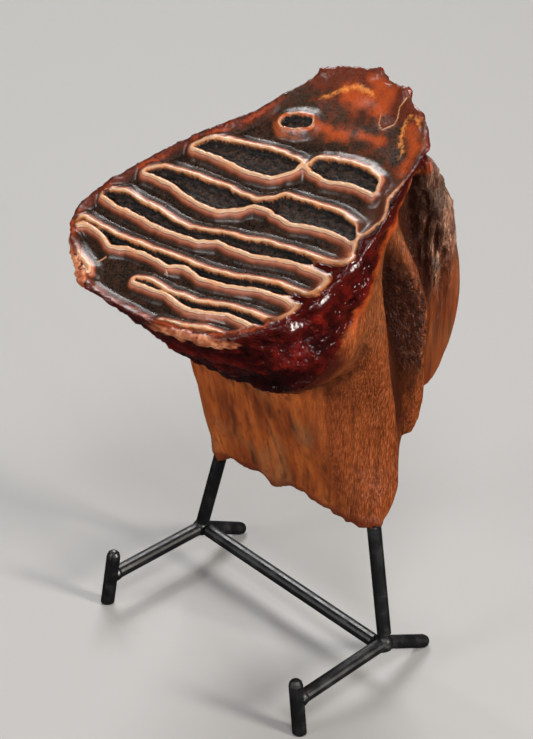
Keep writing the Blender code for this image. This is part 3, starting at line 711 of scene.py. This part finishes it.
for centre in GLASSY_AT:
    away = points - centre
    lift = away @ GLASSY_FACE
    along = away @ GLASSY_LONG
    aside = away @ np.cross(GLASSY_FACE, GLASSY_LONG)
    reach = np.hypot(along / DOME_LONG, aside / DOME_WIDE)
    share = (1 - smoothstep(0.55, 1.35, reach)) * (np.abs(lift) < DOME_REACH)
    share *= smoothstep(0.1, 0.4, normals @ GLASSY_FACE)
    dome = DOME_HIGH - along ** 2 / DOME_FLAT_LONG - aside ** 2 / DOME_FLAT_WIDE
    dome += 0.12 * bumps(points, 2.4, 117.0)
    points += ((dome - lift) * share)[:, None] * GLASSY_FACE
    glassy_lump = np.maximum(glassy_lump, share)
print("points on smooth lumps:", int((glassy_lump > 0.5).sum()))

# %% The broken lower edge of the root
HEM_STEP = 1.5  # mm between the places where the lowest point is looked up
HEM_REACH = 1.6  # mm to each side of such a place
HEM_HIGH = 5.0  # mm over the lowest point, where the broken edge ends
HEM_LIP_AT = 3.0
HEM_LIP_HIGH = 0.35
HEM_LIP_WIDE = 1.5

slots = np.arange(-60.0, 66.0, HEM_STEP)
facing_front = normals[:, 1] < 0.0
over_hem = np.zeros(len(points))
for half in (facing_front, ~facing_front):
    lowest = [z[(np.abs(x - at) < HEM_REACH) & (root > 0.5) & half].min(initial=200.0)
              for at in slots]
    over_hem[half] = z[half] - np.interp(x[half], slots, lowest)
hem = root * (1 - smoothstep(0.0, HEM_HIGH, over_hem))
along_hem = np.stack([x, 0.6 * y, z * 0.1], axis=1)
points[:, 2] += hem * layered(along_hem, (0.8, 9.0, 87.0), (0.5, 3.0, 89.0), (0.25, 1.5, 91.0))
hem_lip = root * np.exp(-((over_hem - HEM_LIP_AT) / HEM_LIP_WIDE) ** 2)
points += normals * (hem_lip * (HEM_LIP_HIGH + 0.3 * bumps(points, 5.0, 93.0)))[:, None]
print("points near the lower edge:", int((hem > 0.5).sum()))

# %% Collars where the uprights enter the root
# (across, back, height of the rod's shoulder, lean)
RODS = ((-38.8, 1.0, 50.3, 0.228), (37.1, 1.2, 57.6, -0.228))
PATCH_RADIUS = 5.5  # mm; the underside this near is taken as one flat patch
PATCH_HIGH = 9.0
COLLAR_GAP = 0.35
COLLAR_MOST = 4.0
COLLAR_ROUND = (3.8, 8.5)  # full inside the first radius, gone at the second
COLLAR_TALL = (1.0, 8.0)  # full up to the first height, gone at the second

for across, back, shoulder, lean in RODS:
    dx, dy = points[:, 0] - across, points[:, 1] - back
    away = np.hypot(dx, dy)
    under = ((away < PATCH_RADIUS) & (normals[:, 2] < -0.35)
             & (points[:, 2] < shoulder + PATCH_HIGH))
    ground = np.stack([dx, dy, np.ones_like(dx)], axis=1)
    slope = np.linalg.lstsq(ground[under], points[under, 2], rcond=None)[0]
    bottom = ground @ slope
    drop = np.clip(bottom - (shoulder + COLLAR_GAP - lean * dx), 0.0, COLLAR_MOST)
    share = ((1 - smoothstep(*COLLAR_ROUND, away))
             * (1 - smoothstep(*COLLAR_TALL, points[:, 2] - bottom)))
    points[:, 2] -= drop * share
    print("root brought down to the rod's shoulder by up to", float((drop * share).max()), "mm")
put_back(tooth.data, points)

# %% [markdown]
# ## Hollows and ridges
# The paint darkens hollows: the wide grooves as painted shade, the fine ones as plain darker
# colour. The mesh itself can tell hollows apart: average every point with its neighbours many
# times, and see on which side of the averaged surface the point lies. Few rounds find fine
# grooves, many rounds find wide ones.

# %% Measure the hollows
FINE_ROUNDS = 10
WIDE_ROUNDS = 220


def averaged(mesh, start, rounds):
    """Every point moved half way to the middle of its neighbours, again and again."""
    ends = np.empty(len(mesh.edges) * 2, np.int32)
    mesh.edges.foreach_get("vertices", ends)
    first, second = ends.reshape(-1, 2).T
    neighbours = np.bincount(ends, minlength=len(start)).astype(float)
    now = start.copy()
    for _ in range(rounds):
        total = np.stack([np.bincount(first, now[second, k], len(start))
                          + np.bincount(second, now[first, k], len(start))
                          for k in range(3)], axis=1)
        now = 0.5 * now + 0.5 * total / neighbours[:, None]
    return now


points, normals = places(tooth.data)
soft = averaged(tooth.data, points, FINE_ROUNDS)
softer = averaged(tooth.data, soft, WIDE_ROUNDS)
fine_hollow = ((soft - points) * normals).sum(axis=1)
wide_hollow = ((softer - soft) * normals).sum(axis=1)
print("fine and wide hollows in mm:", fine_hollow.max(), wide_hollow.max())

# %% [markdown]
# ## Leaving notes on the mesh for the paint
# A vertex attribute stores one number at each point. The paint reads them: how deep in a plate a
# point lies, how near the rim, how much coat or bark it has, and how high it stands over its
# surroundings. Distances are stored instead of colours, because they stay sharp between points.

# %% Store the attributes
NOTES = {
    "plate_depth": plate, "core_depth": core, "rim_depth": rim, "worn_face": on_top,
    "slope_up": v, "slope_along": u, "far_side": far_side, "in_islet": in_islet,
    "right_edge": right_edge, "soft_edge": soft_edge, "crust": crust, "wet": wet,
    "amber": stroke_depth(u, v, AMBER), "glow": stroke_depth(u, v, GLOW),
    "crack": stroke_depth(u, v, CRACKS), "coat_edge": below, "bark": bark, "outer_lobe": outer,
    "right_side": right_side, "relief": move, "glassy_lump": glassy_lump, "over_hem": over_hem,
    "shaded_lobe_side": shaded_lobe_side, "lobe_ridge": lobe_ridge, "fine_hollow": fine_hollow,
    "wide_hollow": wide_hollow,
}
for name, values in NOTES.items():
    layer = tooth.data.attributes.new(name, "FLOAT", "POINT")
    layer.data.foreach_set("value", np.asarray(values, np.float32))
print("notes on the mesh:", len(NOTES))

# %% [markdown]
# ## The paint of the tooth
# One material covers the tooth, because it grew as one piece. Inside it are four looks: the worn
# face with its bands, the crust of the rim, the wet dark coat and the woody root. Each look gives
# a colour, a roughness and a bump height, and the notes on the mesh say where one turns into the
# next. Small helper functions keep the node wiring readable.


# %% Nodes and sums
class Wiring:
    """Adds nodes to a new material and joins them."""

    def __init__(self, name):
        self.mat = bpy.data.materials.new(name)
        self.mat.use_nodes = True
        self.tree = self.mat.node_tree
        self.shader = self.tree.nodes["Principled BSDF"]

    def put(self, value, socket):
        """Link a socket, or set a colour or a number."""
        if isinstance(value, bpy.types.NodeSocket):
            self.tree.links.new(value, socket)
        elif isinstance(value, tuple) and len(value) == 3 and socket.type == "RGBA":
            socket.default_value = (*value, 1.0)
        else:
            socket.default_value = value

    def node(self, kind, inputs=None, **settings):
        node = self.tree.nodes.new(kind)
        for key, value in settings.items():
            setattr(node, key, value)
        for key, value in (inputs or {}).items():
            self.put(value, node.inputs[key])
        return node

    def math(self, operation, a, b=0.0):
        return self.node("ShaderNodeMath", {0: a, 1: b}, operation=operation).outputs[0]

    def plus(self, a, b):
        return self.math("ADD", a, b)

    def times(self, a, b):
        return self.math("MULTIPLY", a, b)

    def swing(self, grain, size):
        """A noise value, moved to lie round zero and stretched to a size."""
        return self.times(self.math("SUBTRACT", grain, 0.5), size)

    def without(self, a, b):
        """The share a, where b is not."""
        return self.times(a, self.math("SUBTRACT", 1.0, b))


print("node helpers:", [name for name in vars(Wiring) if not name.startswith("_")])


# %% Masks, colours and noise
class Paint(Wiring):
    """A material that is painted by rules."""

    def note(self, name):
        return self.node("ShaderNodeAttribute", attribute_name=name).outputs["Fac"]

    def step(self, value, low, high):
        """A soft step from 0 at the first value to 1 at the second, which may be the lower one."""
        node = self.node("ShaderNodeMapRange", {0: value, 1: low, 2: high, 3: 0.0, 4: 1.0},
                         interpolation_type="SMOOTHSTEP", clamp=True)
        return node.outputs[0]

    def where(self, name, low, high):
        """A soft step over one of the notes."""
        return self.step(self.note(name), low, high)

    def mix(self, share, a, b):
        """Colour a where the share is 0, colour b where it is 1."""
        node = self.node("ShaderNodeMix", {0: share, 6: a, 7: b}, data_type="RGBA")
        return node.outputs[2]

    def tint(self, base, *layers):
        """The base, turned towards one colour after another.

        Each layer is (colour, share) or (colour, share, most), where most weakens the share.
        """
        for colour, share, *most in layers:
            base = self.mix(self.times(share, *most) if most else share, base, colour)
        return base

    def blend(self, share, a, b):
        """The same as mix, for plain numbers."""
        node = self.node("ShaderNodeMix", {0: share, 2: a, 3: b}, data_type="FLOAT")
        return node.outputs[0]

    def noise(self, size_mm, detail=3.0, rough=0.55, stretch=(1.0, 1.0, 1.0), shift=0.0):
        """Noise from 0 to 1; a stretch below 1 makes it that much longer in that direction."""
        coords = self.node("ShaderNodeTexCoord").outputs["Object"]
        scale = tuple(s / (size_mm * MM) for s in stretch)
        mapped = self.node("ShaderNodeMapping", {"Vector": coords, "Scale": scale,
                                                 "Location": (shift, shift, shift)})
        node = self.node("ShaderNodeTexNoise", {"Vector": mapped.outputs[0], "Scale": 1.0,
                                                "Detail": detail, "Roughness": rough})
        return node.outputs["Fac"]

    def ramp(self, value, stops):
        """Colours by value; the stops are (value, colour) with values from low to high."""
        low, high = stops[0][0], stops[-1][0]
        share = self.node("ShaderNodeMapRange", {0: value, 1: low, 2: high, 3: 0.0, 4: 1.0})
        node = self.node("ShaderNodeValToRGB", {"Fac": share.outputs[0]})
        bar = node.color_ramp
        bar.elements[0].color = (*stops[0][1], 1.0)
        bar.elements[1].color = (*stops[-1][1], 1.0)
        for at, colour in stops[1:-1]:
            bar.elements.new((at - low) / (high - low)).color = (*colour, 1.0)
        return node.outputs["Color"]


print("paint helpers:", [name for name in vars(Paint) if not name.startswith("_")])


# %% The tooth's paint and its shared grains
def srgb(red, green, blue):
    """A colour as seen on a screen, 0 to 255, turned into linear light."""
    return tuple(((c / 255 + 0.055) / 1.055) ** 2.4 if c > 10 else c / 255 / 12.92
                 for c in (red, green, blue))


paint = Paint("fossil_tooth_paint")
note, step, where, without = paint.note, paint.step, paint.where, paint.without
plus, times, swing = paint.plus, paint.times, paint.swing
tint, blend, ramp = paint.tint, paint.blend, paint.ramp
fine_grain = paint.noise(0.8, 2.0)
mid_grain = paint.noise(3.5, 4.0, 0.6)
broad_grain = paint.noise(14.0, 3.0, 0.5)
print("cream in linear light:", srgb(228, 188, 140))

# %% [markdown]
# ## Bands of the worn face
# Enamel that has lain in brown earth is stained from both sides, so a cut through it shows thin
# bands: brown outside, pink and mauve, a cream middle, gold, then the dark dentine. A colour ramp
# over the distance from the plate's edge gives them all, and the distance is made a little uneven
# first. Faint growth lines are a sine wave over the same distance.

# %% Bands across the edge of a plate
CEMENT = srgb(26, 16, 10)
CEMENT_BROWN = srgb(62, 36, 22)
BROWN = srgb(104, 52, 34)
BLUSH = srgb(136, 77, 55)
PINK = srgb(168, 109, 88)
MAUVE = srgb(126, 76, 66)
CREAM = srgb(188, 153, 121)
GOLD = srgb(172, 118, 74)
TAN = srgb(146, 92, 54)
UMBER = srgb(86, 46, 26)
# mm inside the edge of a plate, minus is outside
BAND_STOPS = [(-3.1, CEMENT), (-2.5, CEMENT_BROWN), (-2.05, BROWN), (-1.65, BLUSH),
              (-1.25, PINK), (-0.95, MAUVE), (-0.7, CREAM), (0.15, CREAM), (0.4, GOLD),
              (0.65, TAN), (0.9, UMBER)]
GROWTH_TURNS = 12.0  # how fast the growth lines follow each other
GROWTH_LINE = srgb(122, 66, 44)
APRICOT = srgb(200, 124, 76)
VALLEY_STAIN = srgb(60, 36, 22)
ISLET_ORANGE = srgb(158, 76, 36)

band_at = plus(note("plate_depth"), swing(mid_grain, 0.5))
along_band = paint.noise(2.2, 3.0, 0.6, (0.35, 1.0, 1.0), 17.0)
growth = paint.math("SINE", times(band_at, GROWTH_TURNS))
growth_line = times(step(growth, 0.45, 1.0),
                    times(step(band_at, -2.2, -1.4), step(mid_grain, 0.35, 0.6)))
apricot = times(step(along_band, 0.5, 0.66), step(band_at, -2.2, -1.0))
stain = step(plus(mid_grain, times(fine_grain, 0.6)), 0.62, 1.05)
in_valley = step(band_at, -2.4, -3.6)
bands = tint(
    ramp(band_at, BAND_STOPS), (GROWTH_LINE, growth_line, 0.7), (BROWN, note("right_edge"), 0.4),
    (APRICOT, apricot, 0.45), (VALLEY_STAIN, times(times(stain, 0.75), in_valley)),
    (ISLET_ORANGE, times(note("in_islet"), step(along_band, 0.36, 0.6))))
print("stops in the bands:", len(BAND_STOPS))

# %% Dentine inside the plates
DENTINE = srgb(36, 24, 17)
DENTINE_LIGHT = srgb(74, 49, 35)
PIT = srgb(12, 8, 6)

teeth_grain = paint.noise(0.6, 1.0, 0.5, (1.0, 0.25, 0.25), 3.0)
core_at = plus(note("core_depth"), swing(fine_grain, 0.5))
jags = blend(note("far_side"), 0.4, 1.4)
core_at = plus(core_at, swing(teeth_grain, jags))
dentine = tint(DENTINE, (DENTINE_LIGHT, step(fine_grain, 0.46, 0.72)),
               (PIT, where("fine_hollow", 0.02, 0.14)))
face_colour = tint(bands, (dentine, step(core_at, 0.6, 0.95)))
print("dentine ready")

# %% The far corner of the face, worn smooth, dark, with amber in it
CORNER_DARK = srgb(46, 32, 22)
CORNER_RED = srgb(82, 38, 21)
CORNER_TOP = srgb(92, 36, 19)
GLOW_ORANGE = srgb(166, 68, 24)
AMBER_GOLD = srgb(216, 132, 62)
CRACK_PALE = srgb(196, 140, 96)

mottle = step(plus(mid_grain, times(broad_grain, 0.7)), 0.76, 1.06)
upper = step(plus(note("slope_up"), times(mid_grain, 14.0)), 52.0, 62.0)
glow = step(plus(note("glow"), swing(mid_grain, 6.0)), -2.6, 2.0)
ragged = plus(swing(mid_grain, 3.6), swing(fine_grain, 2.4))
amber = step(plus(note("amber"), ragged), -0.9, 1.0)
corner = tint(CORNER_DARK, (CORNER_RED, mottle), (CORNER_TOP, upper, 0.8),
              (GLOW_ORANGE, glow, 0.75), (AMBER_GOLD, amber, 0.8))
in_corner = times(where("slope_up", 28.0, 38.0), where("plate_depth", -1.6, -3.0))
face_colour = tint(face_colour, (corner, in_corner), (CRACK_PALE, where("crack", -0.3, 0.05)))
print("corner ready")

# %% The rim: a thin dark red edge
# mm inside the rim
RIM_STOPS = [(-0.5, srgb(46, 12, 8)), (1.0, srgb(72, 22, 12)), (2.2, srgb(132, 52, 22)),
             (3.0, srgb(80, 32, 18)), (3.8, srgb(96, 44, 26))]
RIM_DARK = srgb(62, 26, 17)

rim_at = plus(note("rim_depth"), swing(mid_grain, 4.0))
rim_share = without(step(rim_at, 4.2, 2.6), note("right_edge"))
rim_share = times(rim_share, where("slope_up", 46.0, 34.0))
rim_dark = step(paint.noise(5.0, 3.0, 0.6, shift=31.0), 0.56, 0.44)
rim_colour = tint(ramp(rim_at, RIM_STOPS), (RIM_DARK, rim_dark, 0.8))
face_colour = tint(face_colour, (rim_colour, rim_share))
print("stops in the rim:", len(RIM_STOPS))

# %% [markdown]
# ## Coat and crust
# The coat looks almost black in the shade and wine red where light gets into a lump, as thick
# varnish does. Glass with real depth would be slow and hard to steer, so its colour simply gets
# redder the higher a lump stands, and the gloss does the rest. The crust is dry and pale.

# %% The dark red coat
# relief in mm, made uneven by noise
COAT_STOPS = [(-0.6, srgb(18, 3, 3)), (0.4, srgb(50, 8, 6)), (1.1, srgb(80, 14, 9)),
              (1.9, srgb(114, 29, 15))]
# painted shade for the coat's lower part, which overhangs the root
COAT_SHADE = srgb(16, 3, 3)
COAT_LUMP = srgb(54, 9, 7)

# painted shade: the coat turns darker towards its lower edge, except at the soft right edge
coat_underside_shade = without(where("coat_edge", 15.0, 3.0), note("soft_edge"))
coat_colour = tint(ramp(plus(mid_grain, note("relief")), COAT_STOPS), (COAT_SHADE, coat_underside_shade, 0.85),
                   (COAT_LUMP, where("glassy_lump", 0.1, 0.8)))
wet_share = where("wet", -0.5, 0.4)
face_colour = tint(face_colour, (coat_colour, wet_share))
print("stops in the coat:", len(COAT_STOPS))

# %% The pale crust
CRUST_STOPS = [(0.3, srgb(98, 42, 22)), (0.46, srgb(150, 80, 48)), (0.64, srgb(194, 128, 90))]
CRUST_RED = srgb(96, 38, 22)
CRUST_PIT = srgb(58, 20, 12)

crust_colour = tint(ramp(mid_grain, CRUST_STOPS), (CRUST_RED, step(fine_grain, 0.54, 0.74)),
                    (CRUST_PIT, where("fine_hollow", 0.0, 0.12)))
crust_share = where("crust", -0.5, 0.6)
print("stops in the crust:", len(CRUST_STOPS))

# %% [markdown]
# ## The root and its lobes
# Bare root looks like old wood: streaks run down it, with ash grey patches, fine light specks on
# the right and flaking bark on the outer lobe. All of it is noise drawn out along the height. The
# front-facing sides of the lobes get painted shade, and the hollows measured on the mesh are
# darkened last: painted shade in the wide grooves, plain darker colour in the fine ones.

# %% Wood colours of the root
WOOD_STOPS = [(0.28, srgb(98, 40, 12)), (0.5, srgb(142, 67, 20)), (0.72, srgb(172, 90, 34))]
SPECK_STOPS = [(0.38, srgb(50, 22, 11)), (0.5, srgb(92, 42, 20)), (0.64, srgb(150, 84, 50))]
STREAK = srgb(96, 42, 20)
ASH_BROWN = srgb(126, 88, 54)

streaks = paint.noise(1.3, 4.0, 0.6, (1.0, 1.0, 0.05), 7.0)
wide_streaks = paint.noise(7.0, 3.0, 0.5, (1.0, 1.0, 0.16), 8.0)
patches = paint.noise(18.0, 3.0, 0.5, (1.0, 1.0, 0.45), 9.0)
speck = paint.noise(0.42, 4.0, 0.72, (1.0, 1.0, 0.15), 12.0)
root_colour = tint(ramp(wide_streaks, WOOD_STOPS), (STREAK, step(streaks, 0.52, 0.3), 0.6),
                   (ASH_BROWN, step(patches, 0.5, 0.68), 0.55),
                   (ramp(speck, SPECK_STOPS), note("right_side"), 0.75))
print("wood ready")

# %% Bark of the outer lobe
BARK_STOPS = [(0.34, srgb(38, 21, 14)), (0.47, srgb(84, 50, 34)), (0.56, srgb(146, 100, 78)),
              (0.68, srgb(220, 172, 146))]
BARK_ASH = srgb(108, 95, 84)
BARK_PALE = srgb(190, 146, 122)
BARK_DARK = srgb(40, 20, 12)
# painted shade for the front half of the bark, in the groove between the lobes
BARK_SHADE = srgb(46, 23, 13)
BARK_CRACK = srgb(38, 18, 10)

bark_grain = paint.noise(1.7, 4.0, 0.65, (1.0, 1.0, 0.16), 23.0)
fine_bark = paint.noise(0.7, 3.0, 0.65, (1.0, 1.0, 0.3), 41.0)
ash = step(paint.noise(7.0, 3.0, 0.6, (1.0, 1.0, 0.5), 21.0), 0.5, 0.58)
place = paint.node("ShaderNodeTexCoord").outputs["Object"]
back_mm = paint.math("DIVIDE", paint.node("ShaderNodeSeparateXYZ", {0: place}).outputs["Y"], MM)
# painted shade: the bark nearer the front, in the groove between the lobes, is painted darker
bark_shade_side = step(plus(back_mm, swing(mid_grain, 8.0)), 38.0, 30.0)
bark_colour = tint(
    ramp(bark_grain, BARK_STOPS), (BARK_ASH, ash, 0.8),
    (BARK_PALE, where("slope_up", 28.0, 38.0), 0.2), (BARK_DARK, step(fine_bark, 0.5, 0.38), 0.65),
    (BARK_SHADE, bark_shade_side, 0.6), (BARK_CRACK, where("fine_hollow", 0.06, 0.34)))
print("bark ready")

# %% Lobes, lower edge, painted shade and darker hollows on the root
OUTER_STOPS = [(0.35, srgb(56, 21, 6)), (0.65, srgb(108, 47, 16))]
# darker wood colours painted on the inner lobe's front-facing sides as painted shade
SHADED_LOBE_STOPS = [(0.35, srgb(34, 15, 8)), (0.65, srgb(84, 42, 24))]
RIDGE_DARK = srgb(50, 24, 16)
HEM_DARK = srgb(84, 34, 20)
# painted shade in the wide hollows measured on the mesh, such as the groove before the inner lobe
WIDE_HOLLOW_SHADE = srgb(44, 18, 9)
GROOVE_DARK = srgb(52, 22, 11)

ridge_grain = paint.noise(1.3, 3.0, 0.65, (1.0, 1.0, 0.4), 27.0)
ridge_dark = times(note("lobe_ridge"), step(ridge_grain, 0.62, 0.4))
hem_dark = step(plus(note("over_hem"), swing(mid_grain, 3.0)), 5.2, 2.4)
# the wide hollows get painted shade; the fine hollows are only made darker
root_colour = tint(
    root_colour, (ramp(streaks, OUTER_STOPS), note("outer_lobe"), 0.7), (bark_colour, note("bark")),
    (ramp(streaks, SHADED_LOBE_STOPS), note("shaded_lobe_side"), 0.85), (RIDGE_DARK, ridge_dark),
    (HEM_DARK, hem_dark, 0.65), (WIDE_HOLLOW_SHADE, where("wide_hollow", 0.3, 1.6), 0.85),
    (GROOVE_DARK, where("fine_hollow", 0.02, 0.16), 0.6))
print("root ready")

# %% Coat over root, face over side, crust over all
BESIDE_COAT = srgb(180, 76, 28)
# painted shadow cast on the root by the coat's overhanging chin
CHIN_SHADOW = srgb(50, 15, 8)

beside_coat = times(where("coat_edge", -5.0, -2.0),
                    times(note("soft_edge"), where("slope_up", -15.0, -5.0)))
# painted shadow on the root just under the lowest, overhanging part of the coat, at the right
chin_shadow = times(where("coat_edge", -13.0, -2.0),
                   times(where("slope_along", 8.0, 20.0), where("slope_up", -13.0, -21.0)))
soft_share = note("soft_edge")
coat_at = plus(note("coat_edge"), times(soft_share, swing(mid_grain, 8.0)))
coat_at = plus(coat_at, times(2.2, where("slope_up", -14.0, 0.0)))
in_coat = blend(soft_share, step(coat_at, -0.6, 0.6), step(coat_at, -2.5, 3.5))
side_colour = tint(root_colour, (BESIDE_COAT, beside_coat, 0.75), (CHIN_SHADOW, chin_shadow, 0.95),
                   (coat_colour, in_coat))
colour = tint(side_colour, (face_colour, note("worn_face")), (crust_colour, crust_share))
print("colours joined")

# %% [markdown]
# ## Gloss and fine bumps
# Wet coat, polished enamel, dry crust and raw dentine differ more in gloss than in colour. Each
# look has a roughness, and the same shares that joined the colours join these. The finest grain is
# too small for the mesh, so it comes as bump: hair lines on the root, crumbs in the dentine.

# %% Roughness
CORE_ROUGH = 0.55  # dentine
CORE_POLISH = 0.26  # its lower wall, which catches the light
ENAMEL_ROUGH = 0.26
CEMENT_ROUGH = (0.25, 0.42)  # smoothest and roughest
WET_ROUGH = 0.12
ROOT_ROUGH = 0.42
RIGHT_ROUGH = 0.26
BARK_ROUGH = 0.26
RIDGE_ROUGH = 0.28
COAT_ROUGH = 0.08
LUMP_ROUGH = 0.2
CRUST_ROUGH = 0.45

in_core = step(core_at, 0.5, 1.0)
lower_wall = without(step(core_at, 2.2, 1.2), note("far_side"))
core_rough = blend(lower_wall, CORE_ROUGH, CORE_POLISH)
valley_rough = blend(step(fine_grain, 0.35, 0.65), *CEMENT_ROUGH)
band_rough = blend(in_valley, ENAMEL_ROUGH, valley_rough)
face_rough = blend(in_core, band_rough, core_rough)
face_rough = blend(wet_share, face_rough, WET_ROUGH)
bare_rough = blend(note("right_side"), ROOT_ROUGH, RIGHT_ROUGH)
bare_rough = blend(note("bark"), bare_rough, BARK_ROUGH)
bare_rough = blend(note("lobe_ridge"), bare_rough, RIDGE_ROUGH)
coat_rough = blend(note("glassy_lump"), COAT_ROUGH, LUMP_ROUGH)
side_rough = blend(in_coat, bare_rough, coat_rough)
rough = blend(note("worn_face"), side_rough, face_rough)
rough = blend(crust_share, rough, CRUST_ROUGH)
print("roughness from", COAT_ROUGH, "to", CORE_ROUGH)

# %% Bump
BUMP_MM = 0.6  # a bump height of 1 stands for this much
BUMP_STRENGTH = 0.8

face_bump = blend(in_core, times(fine_grain, 0.12), times(fine_grain, 0.9))
hair_grain = paint.noise(0.7, 3.0, 0.6, (1.0, 1.0, 0.05), 13.0)
root_bump = plus(times(hair_grain, 0.35), times(streaks, 0.3))
root_bump = plus(root_bump, times(times(speck, 0.9), note("right_side")))
bark_bump = plus(times(bark_grain, 4.5), times(fine_bark, 2.4))
root_bump = plus(root_bump, times(bark_bump, note("bark")))
ridge_bump = times(paint.noise(0.8, 3.0, 0.6, (1.0, 1.0, 0.5), 43.0), 3.5)
root_bump = plus(root_bump, times(ridge_bump, note("lobe_ridge")))
coat_bump = times(paint.noise(1.7, 2.0, 0.5, shift=15.0), 2.8)
coat_bump = times(coat_bump, blend(note("glassy_lump"), 1.0, 0.25))
side_bump = blend(in_coat, root_bump, coat_bump)
bump_height = blend(note("worn_face"), side_bump, face_bump)
bump_height = blend(crust_share, bump_height, plus(mid_grain, times(fine_grain, 0.6)))
bump = paint.node("ShaderNodeBump",
                  {"Height": bump_height, "Distance": BUMP_MM * MM, "Strength": BUMP_STRENGTH})
print("nodes in the paint:", len(paint.tree.nodes))

# %% Put the paint on the tooth
GLOSS_LEVEL = 0.3
paint.put(colour, paint.shader.inputs["Base Color"])
paint.put(rough, paint.shader.inputs["Roughness"])
paint.put(bump.outputs["Normal"], paint.shader.inputs["Normal"])
paint.shader.inputs["Specular IOR Level"].default_value = GLOSS_LEVEL
tooth.data.materials.append(paint.mat)
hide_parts("tooth")
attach(tooth, "root")
print("painted:", tooth.name)

# %% [markdown]
# ## The stand
# The stand is thin steel rod, bent and welded, then painted satin black. The solids of the rods
# are already right, so they stay and only get a better paint. The welds are small swellings where
# two rods meet: a ball of many faces, pulled along the rods and made uneven, is enough.

# %% Black paint
BLACK = srgb(13, 13, 14)
DUSTY = srgb(34, 33, 33)
SATIN = 0.3
MATT = 0.5
PEEL_MM = 0.1
PEEL_STRENGTH = 0.5

black = Paint("satin_black_paint")
dust = black.noise(5.0, 4.0, 0.6)
orange_peel = black.noise(0.9, 2.0, 0.5)
black.put(black.mix(black.step(dust, 0.5, 0.8), BLACK, DUSTY), black.shader.inputs["Base Color"])
black.put(black.blend(black.step(dust, 0.35, 0.7), SATIN, MATT), black.shader.inputs["Roughness"])
peel = black.node("ShaderNodeBump", {"Height": orange_peel, "Distance": PEEL_MM * MM,
                                     "Strength": PEEL_STRENGTH})
black.put(peel.outputs["Normal"], black.shader.inputs["Normal"])
for name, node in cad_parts.items():
    if name != "tooth":
        node.data.materials.clear()
        node.data.materials.append(black.mat)
print("painted rods:", len(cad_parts) - 1)

# %% Welds
# middle and half sizes, in mm from the middle of the stand
WELDS = {
    "left_corner_weld": ((-46.4, 0.1, 13.2), (3.3, 3.5, 3.2)),
    "right_corner_weld": ((46.4, -0.6, 13.0), (3.3, 3.6, 3.3)),
    "left_post_weld": ((-47.0, -42.8, 13.2), (2.9, 2.4, 2.9)),
    "right_post_weld": ((47.0, -42.8, 13.2), (2.9, 2.4, 2.9)),
}
SWELL = 0.10  # share by which a weld is uneven
SWELL_TURNS = 1.7

for name, (middle, half) in WELDS.items():
    bm = bmesh.new()
    bmesh.ops.create_icosphere(bm, subdivisions=4, radius=1.0)
    for vert in bm.verts:
        swell = 1.0 + SWELL * noise.noise(vert.co * SWELL_TURNS + Vector(middle))
        vert.co = Vector(middle) + STAND_AT + Vector(c * h * swell for c, h in zip(vert.co, half))
        vert.co *= MM
    weld = smooth_object(bm, name, black.mat)
    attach(weld, "root")
print("welds:", len(WELDS))
